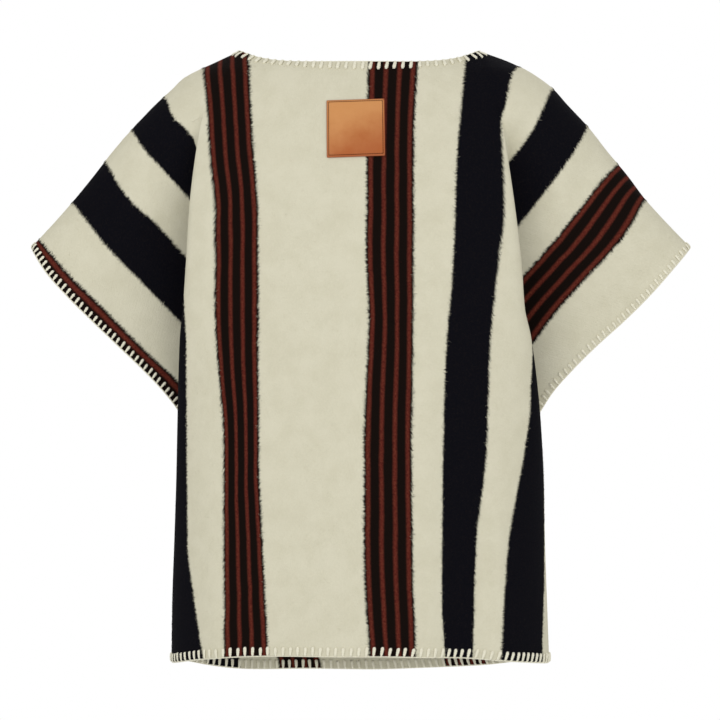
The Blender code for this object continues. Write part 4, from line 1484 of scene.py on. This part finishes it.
def leather_square():
    """The patch as a slab that follows the cloth, with rounded corners and a rounded upper edge."""
    cells = PATCH_CELLS
    wide = cells + 1
    half = PATCH_SIZE / 2
    points, values, faces = [], [], []

    def grid(height, shrink):
        start = len(points)
        for row in range(wide):
            for column in range(wide):
                across, down = (column / cells * 2 - 1), (row / cells * 2 - 1)
                x, y = across * half, down * half
                inner = half - PATCH_CORNER
                over_x, over_y = abs(x) - inner, abs(y) - inner
                if over_x > 0 and over_y > 0:
                    reach = math.hypot(over_x, over_y)
                    keep = max(over_x, over_y) / reach
                    x = math.copysign(inner + over_x * keep, x)
                    y = math.copysign(inner + over_y * keep, y)
                x, y = x * (1 - shrink / half), y * (1 - shrink / half)
                hit, normal = patch_point(x, y)
                points.append(hit + normal * height)
                burnish = clamp((max(abs(across), abs(down)) - (1 - BURNISH)) / BURNISH)
                # painted highlight: from 0 at the top edge, rising downward and to the right
                painted_highlight_fall = (down + 1) / 2 + across * PAINTED_HIGHLIGHT_SLANT
                values.extend((burnish if height > PATCH_GAP else 1.0, painted_highlight_fall, 0.0))
        return start

    top = grid(PATCH_GAP + PATCH_THICK, PATCH_EDGE)
    shoulder = grid(PATCH_GAP + PATCH_THICK - PATCH_EDGE, 0.0)
    bottom = grid(PATCH_GAP, 0.0)
    for row in range(cells):
        for column in range(cells):
            a = row * wide + column
            quad = (a, a + wide, a + wide + 1, a + 1)
            faces.append(tuple(top + i for i in quad))
            faces.append(tuple(bottom + i for i in reversed(quad)))
    rim = list(range(wide))
    rim += [row * wide + cells for row in range(1, wide)]
    rim += [cells * wide + column for column in range(cells - 1, -1, -1)]
    rim += [row * wide for row in range(cells - 1, 0, -1)]
    for a, b in zip(rim, rim[1:] + rim[:1]):
        faces.append((top + a, top + b, shoulder + b, shoulder + a))
        faces.append((shoulder + a, shoulder + b, bottom + b, bottom + a))
    used = sorted({i for face in faces for i in face})
    renumbered = {old: new for new, old in enumerate(used)}
    faces = [tuple(renumbered[i] for i in face) for face in faces]
    mesh = new_mesh("leather_square", [points[i] for i in used], faces)
    mark_points(mesh, "leather", [v for i in used for v in values[3 * i:3 * i + 3]])
    return mesh


patch = finish_piece(leather_square(), "patch", tan_leather())
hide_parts("leather_patch")


# Patch thread
# Fine waxed dark brown thread in a straight lockstitch round the patch, close to its edge. Each
# stitch sinks a little into the leather at both ends.
THREAD_RADIUS = 0.68 * MM
THREAD_PITCH = 3.0 * MM
THREAD_INSET = 2.6 * MM         # from the edge of the leather
THREAD_SIDES = 6
THREAD_COLOUR = (0.110, 0.022, 0.006)
THREAD_SHADE = (0.065, 0.012, 0.004)

# One stitch: share of the pitch, lift above the leather in mm
STITCH_SHAPE = [(0.16, -0.5), (0.28, -0.05), (0.5, 0.12), (0.72, -0.05), (0.84, -0.5)]


def patch_stitches():
    """The line of stitches round the patch as one mesh."""
    inset = PATCH_SIZE / 2 - THREAD_INSET
    per_side = round(2 * inset / THREAD_PITCH)
    step = 2 * inset / per_side
    corners = [(-1, -1), (1, -1), (1, 1), (-1, 1)]
    points, faces = [], []
    for i, corner in enumerate(corners):
        other = corners[(i + 1) % 4]
        run = ((other[0] - corner[0]) / 2, (other[1] - corner[1]) / 2)
        for k in range(per_side):
            path = []
            for share, lift in STITCH_SHAPE:
                travel = (k + share) * step
                x = corner[0] * inset + run[0] * travel
                y = corner[1] * inset + run[1] * travel
                hit, normal = patch_point(x, y)
                path.append(hit + normal * (PATCH_GAP + PATCH_THICK + lift * MM))
            made, quads = lay_yarn(path, THREAD_RADIUS, THREAD_SIDES, 0)
            start = len(points)
            points.extend(made)
            faces.extend(tuple(start + i for i in quad) for quad in quads)
    return new_mesh("patch_stitches", points, faces)


brown_thread = soft_yarn("brown_waxed_thread", THREAD_COLOUR, THREAD_SHADE, 0.0)
patch_thread = finish_piece(patch_stitches(), "patch_thread", brown_thread)


# Studio
# A plain white floor well below the hem, soft light from large lamps, and a camera level with
# the middle of the garment.
FLOOR_Z = -1.30
FLOOR_RADIUS = 3.2
FLOOR_POINTS = 96
FLOOR_PAINT = (0.86, 0.86, 0.85)
FLOOR_SHADE = (0.84, 0.84, 0.83)
FIELD = 0.949                   # width of the view at the shoulder plane
SENSOR = 36.0                   # mm
AMBIENT = 0.72                  # even light from all round, beside the lamps
LAMP_AIM = Vector((0, 0, -0.4))

turns = np.linspace(0, 2 * math.pi, FLOOR_POINTS + 1)[:-1]
rim = [(FLOOR_RADIUS * math.cos(a), FLOOR_RADIUS * math.sin(a), FLOOR_Z) for a in turns]
floor_mesh = new_mesh("studio_floor", rim, [tuple(range(FLOOR_POINTS))])
floor = put_in_scene("studio_floor", floor_mesh)
paint, paint_tree, paint_shader = new_finish("white_studio_paint")
mottle = speckle(paint_tree, object_place(paint_tree), 3.0)
paint_colour = blend_colours(paint_tree, mottle, FLOOR_PAINT, FLOOR_SHADE)
paint_tree.links.new(paint_colour, paint_shader.inputs["Base Color"])
paint_shader.inputs["Roughness"].default_value = 0.8
floor_mesh.materials.append(paint)

world = bpy.data.worlds.new("studio_white")
world.use_nodes = True
world_tree = world.node_tree
seen = add_node(world_tree, "ShaderNodeLightPath", {}).outputs["Is Camera Ray"]
glow = reckon(world_tree, "MAXIMUM", seen, AMBIENT)
world_tree.nodes["Background"].inputs["Color"].default_value = (1.0, 1.0, 1.0, 1.0)
world_tree.links.new(glow, world_tree.nodes["Background"].inputs["Strength"])
bpy.context.scene.world = world

# Lamps: name, place, width, power in watts
LAMPS = [
    ("key_softbox", (-1.6, -3.4, 2.2), 2.6, 42),
    ("low_softbox", (1.0, -3.5, -0.95), 1.6, 27),
    ("back_softbox", (0.6, 3.4, 2.0), 2.6, 44),
]
for name, place, width, power in LAMPS:
    light = bpy.data.lights.new(name, "AREA")
    light.size = width
    light.energy = power
    lamp = put_in_scene(name, light)
    lamp.location = place
    lamp.rotation_euler = (LAMP_AIM - Vector(place)).to_track_quat("-Z", "Y").to_euler()

lens = bpy.data.cameras.new("studio_camera")
lens.sensor_width = SENSOR
lens.lens = SENSOR * VIEW_DISTANCE / FIELD
camera = put_in_scene("studio_camera", lens)
camera.location = (VIEW_X, -VIEW_DISTANCE, VIEW_Z)
camera.rotation_euler = (math.radians(90), 0, 0)
bpy.context.scene.camera = camera
bpy.context.scene.view_settings.view_transform = "Standard"
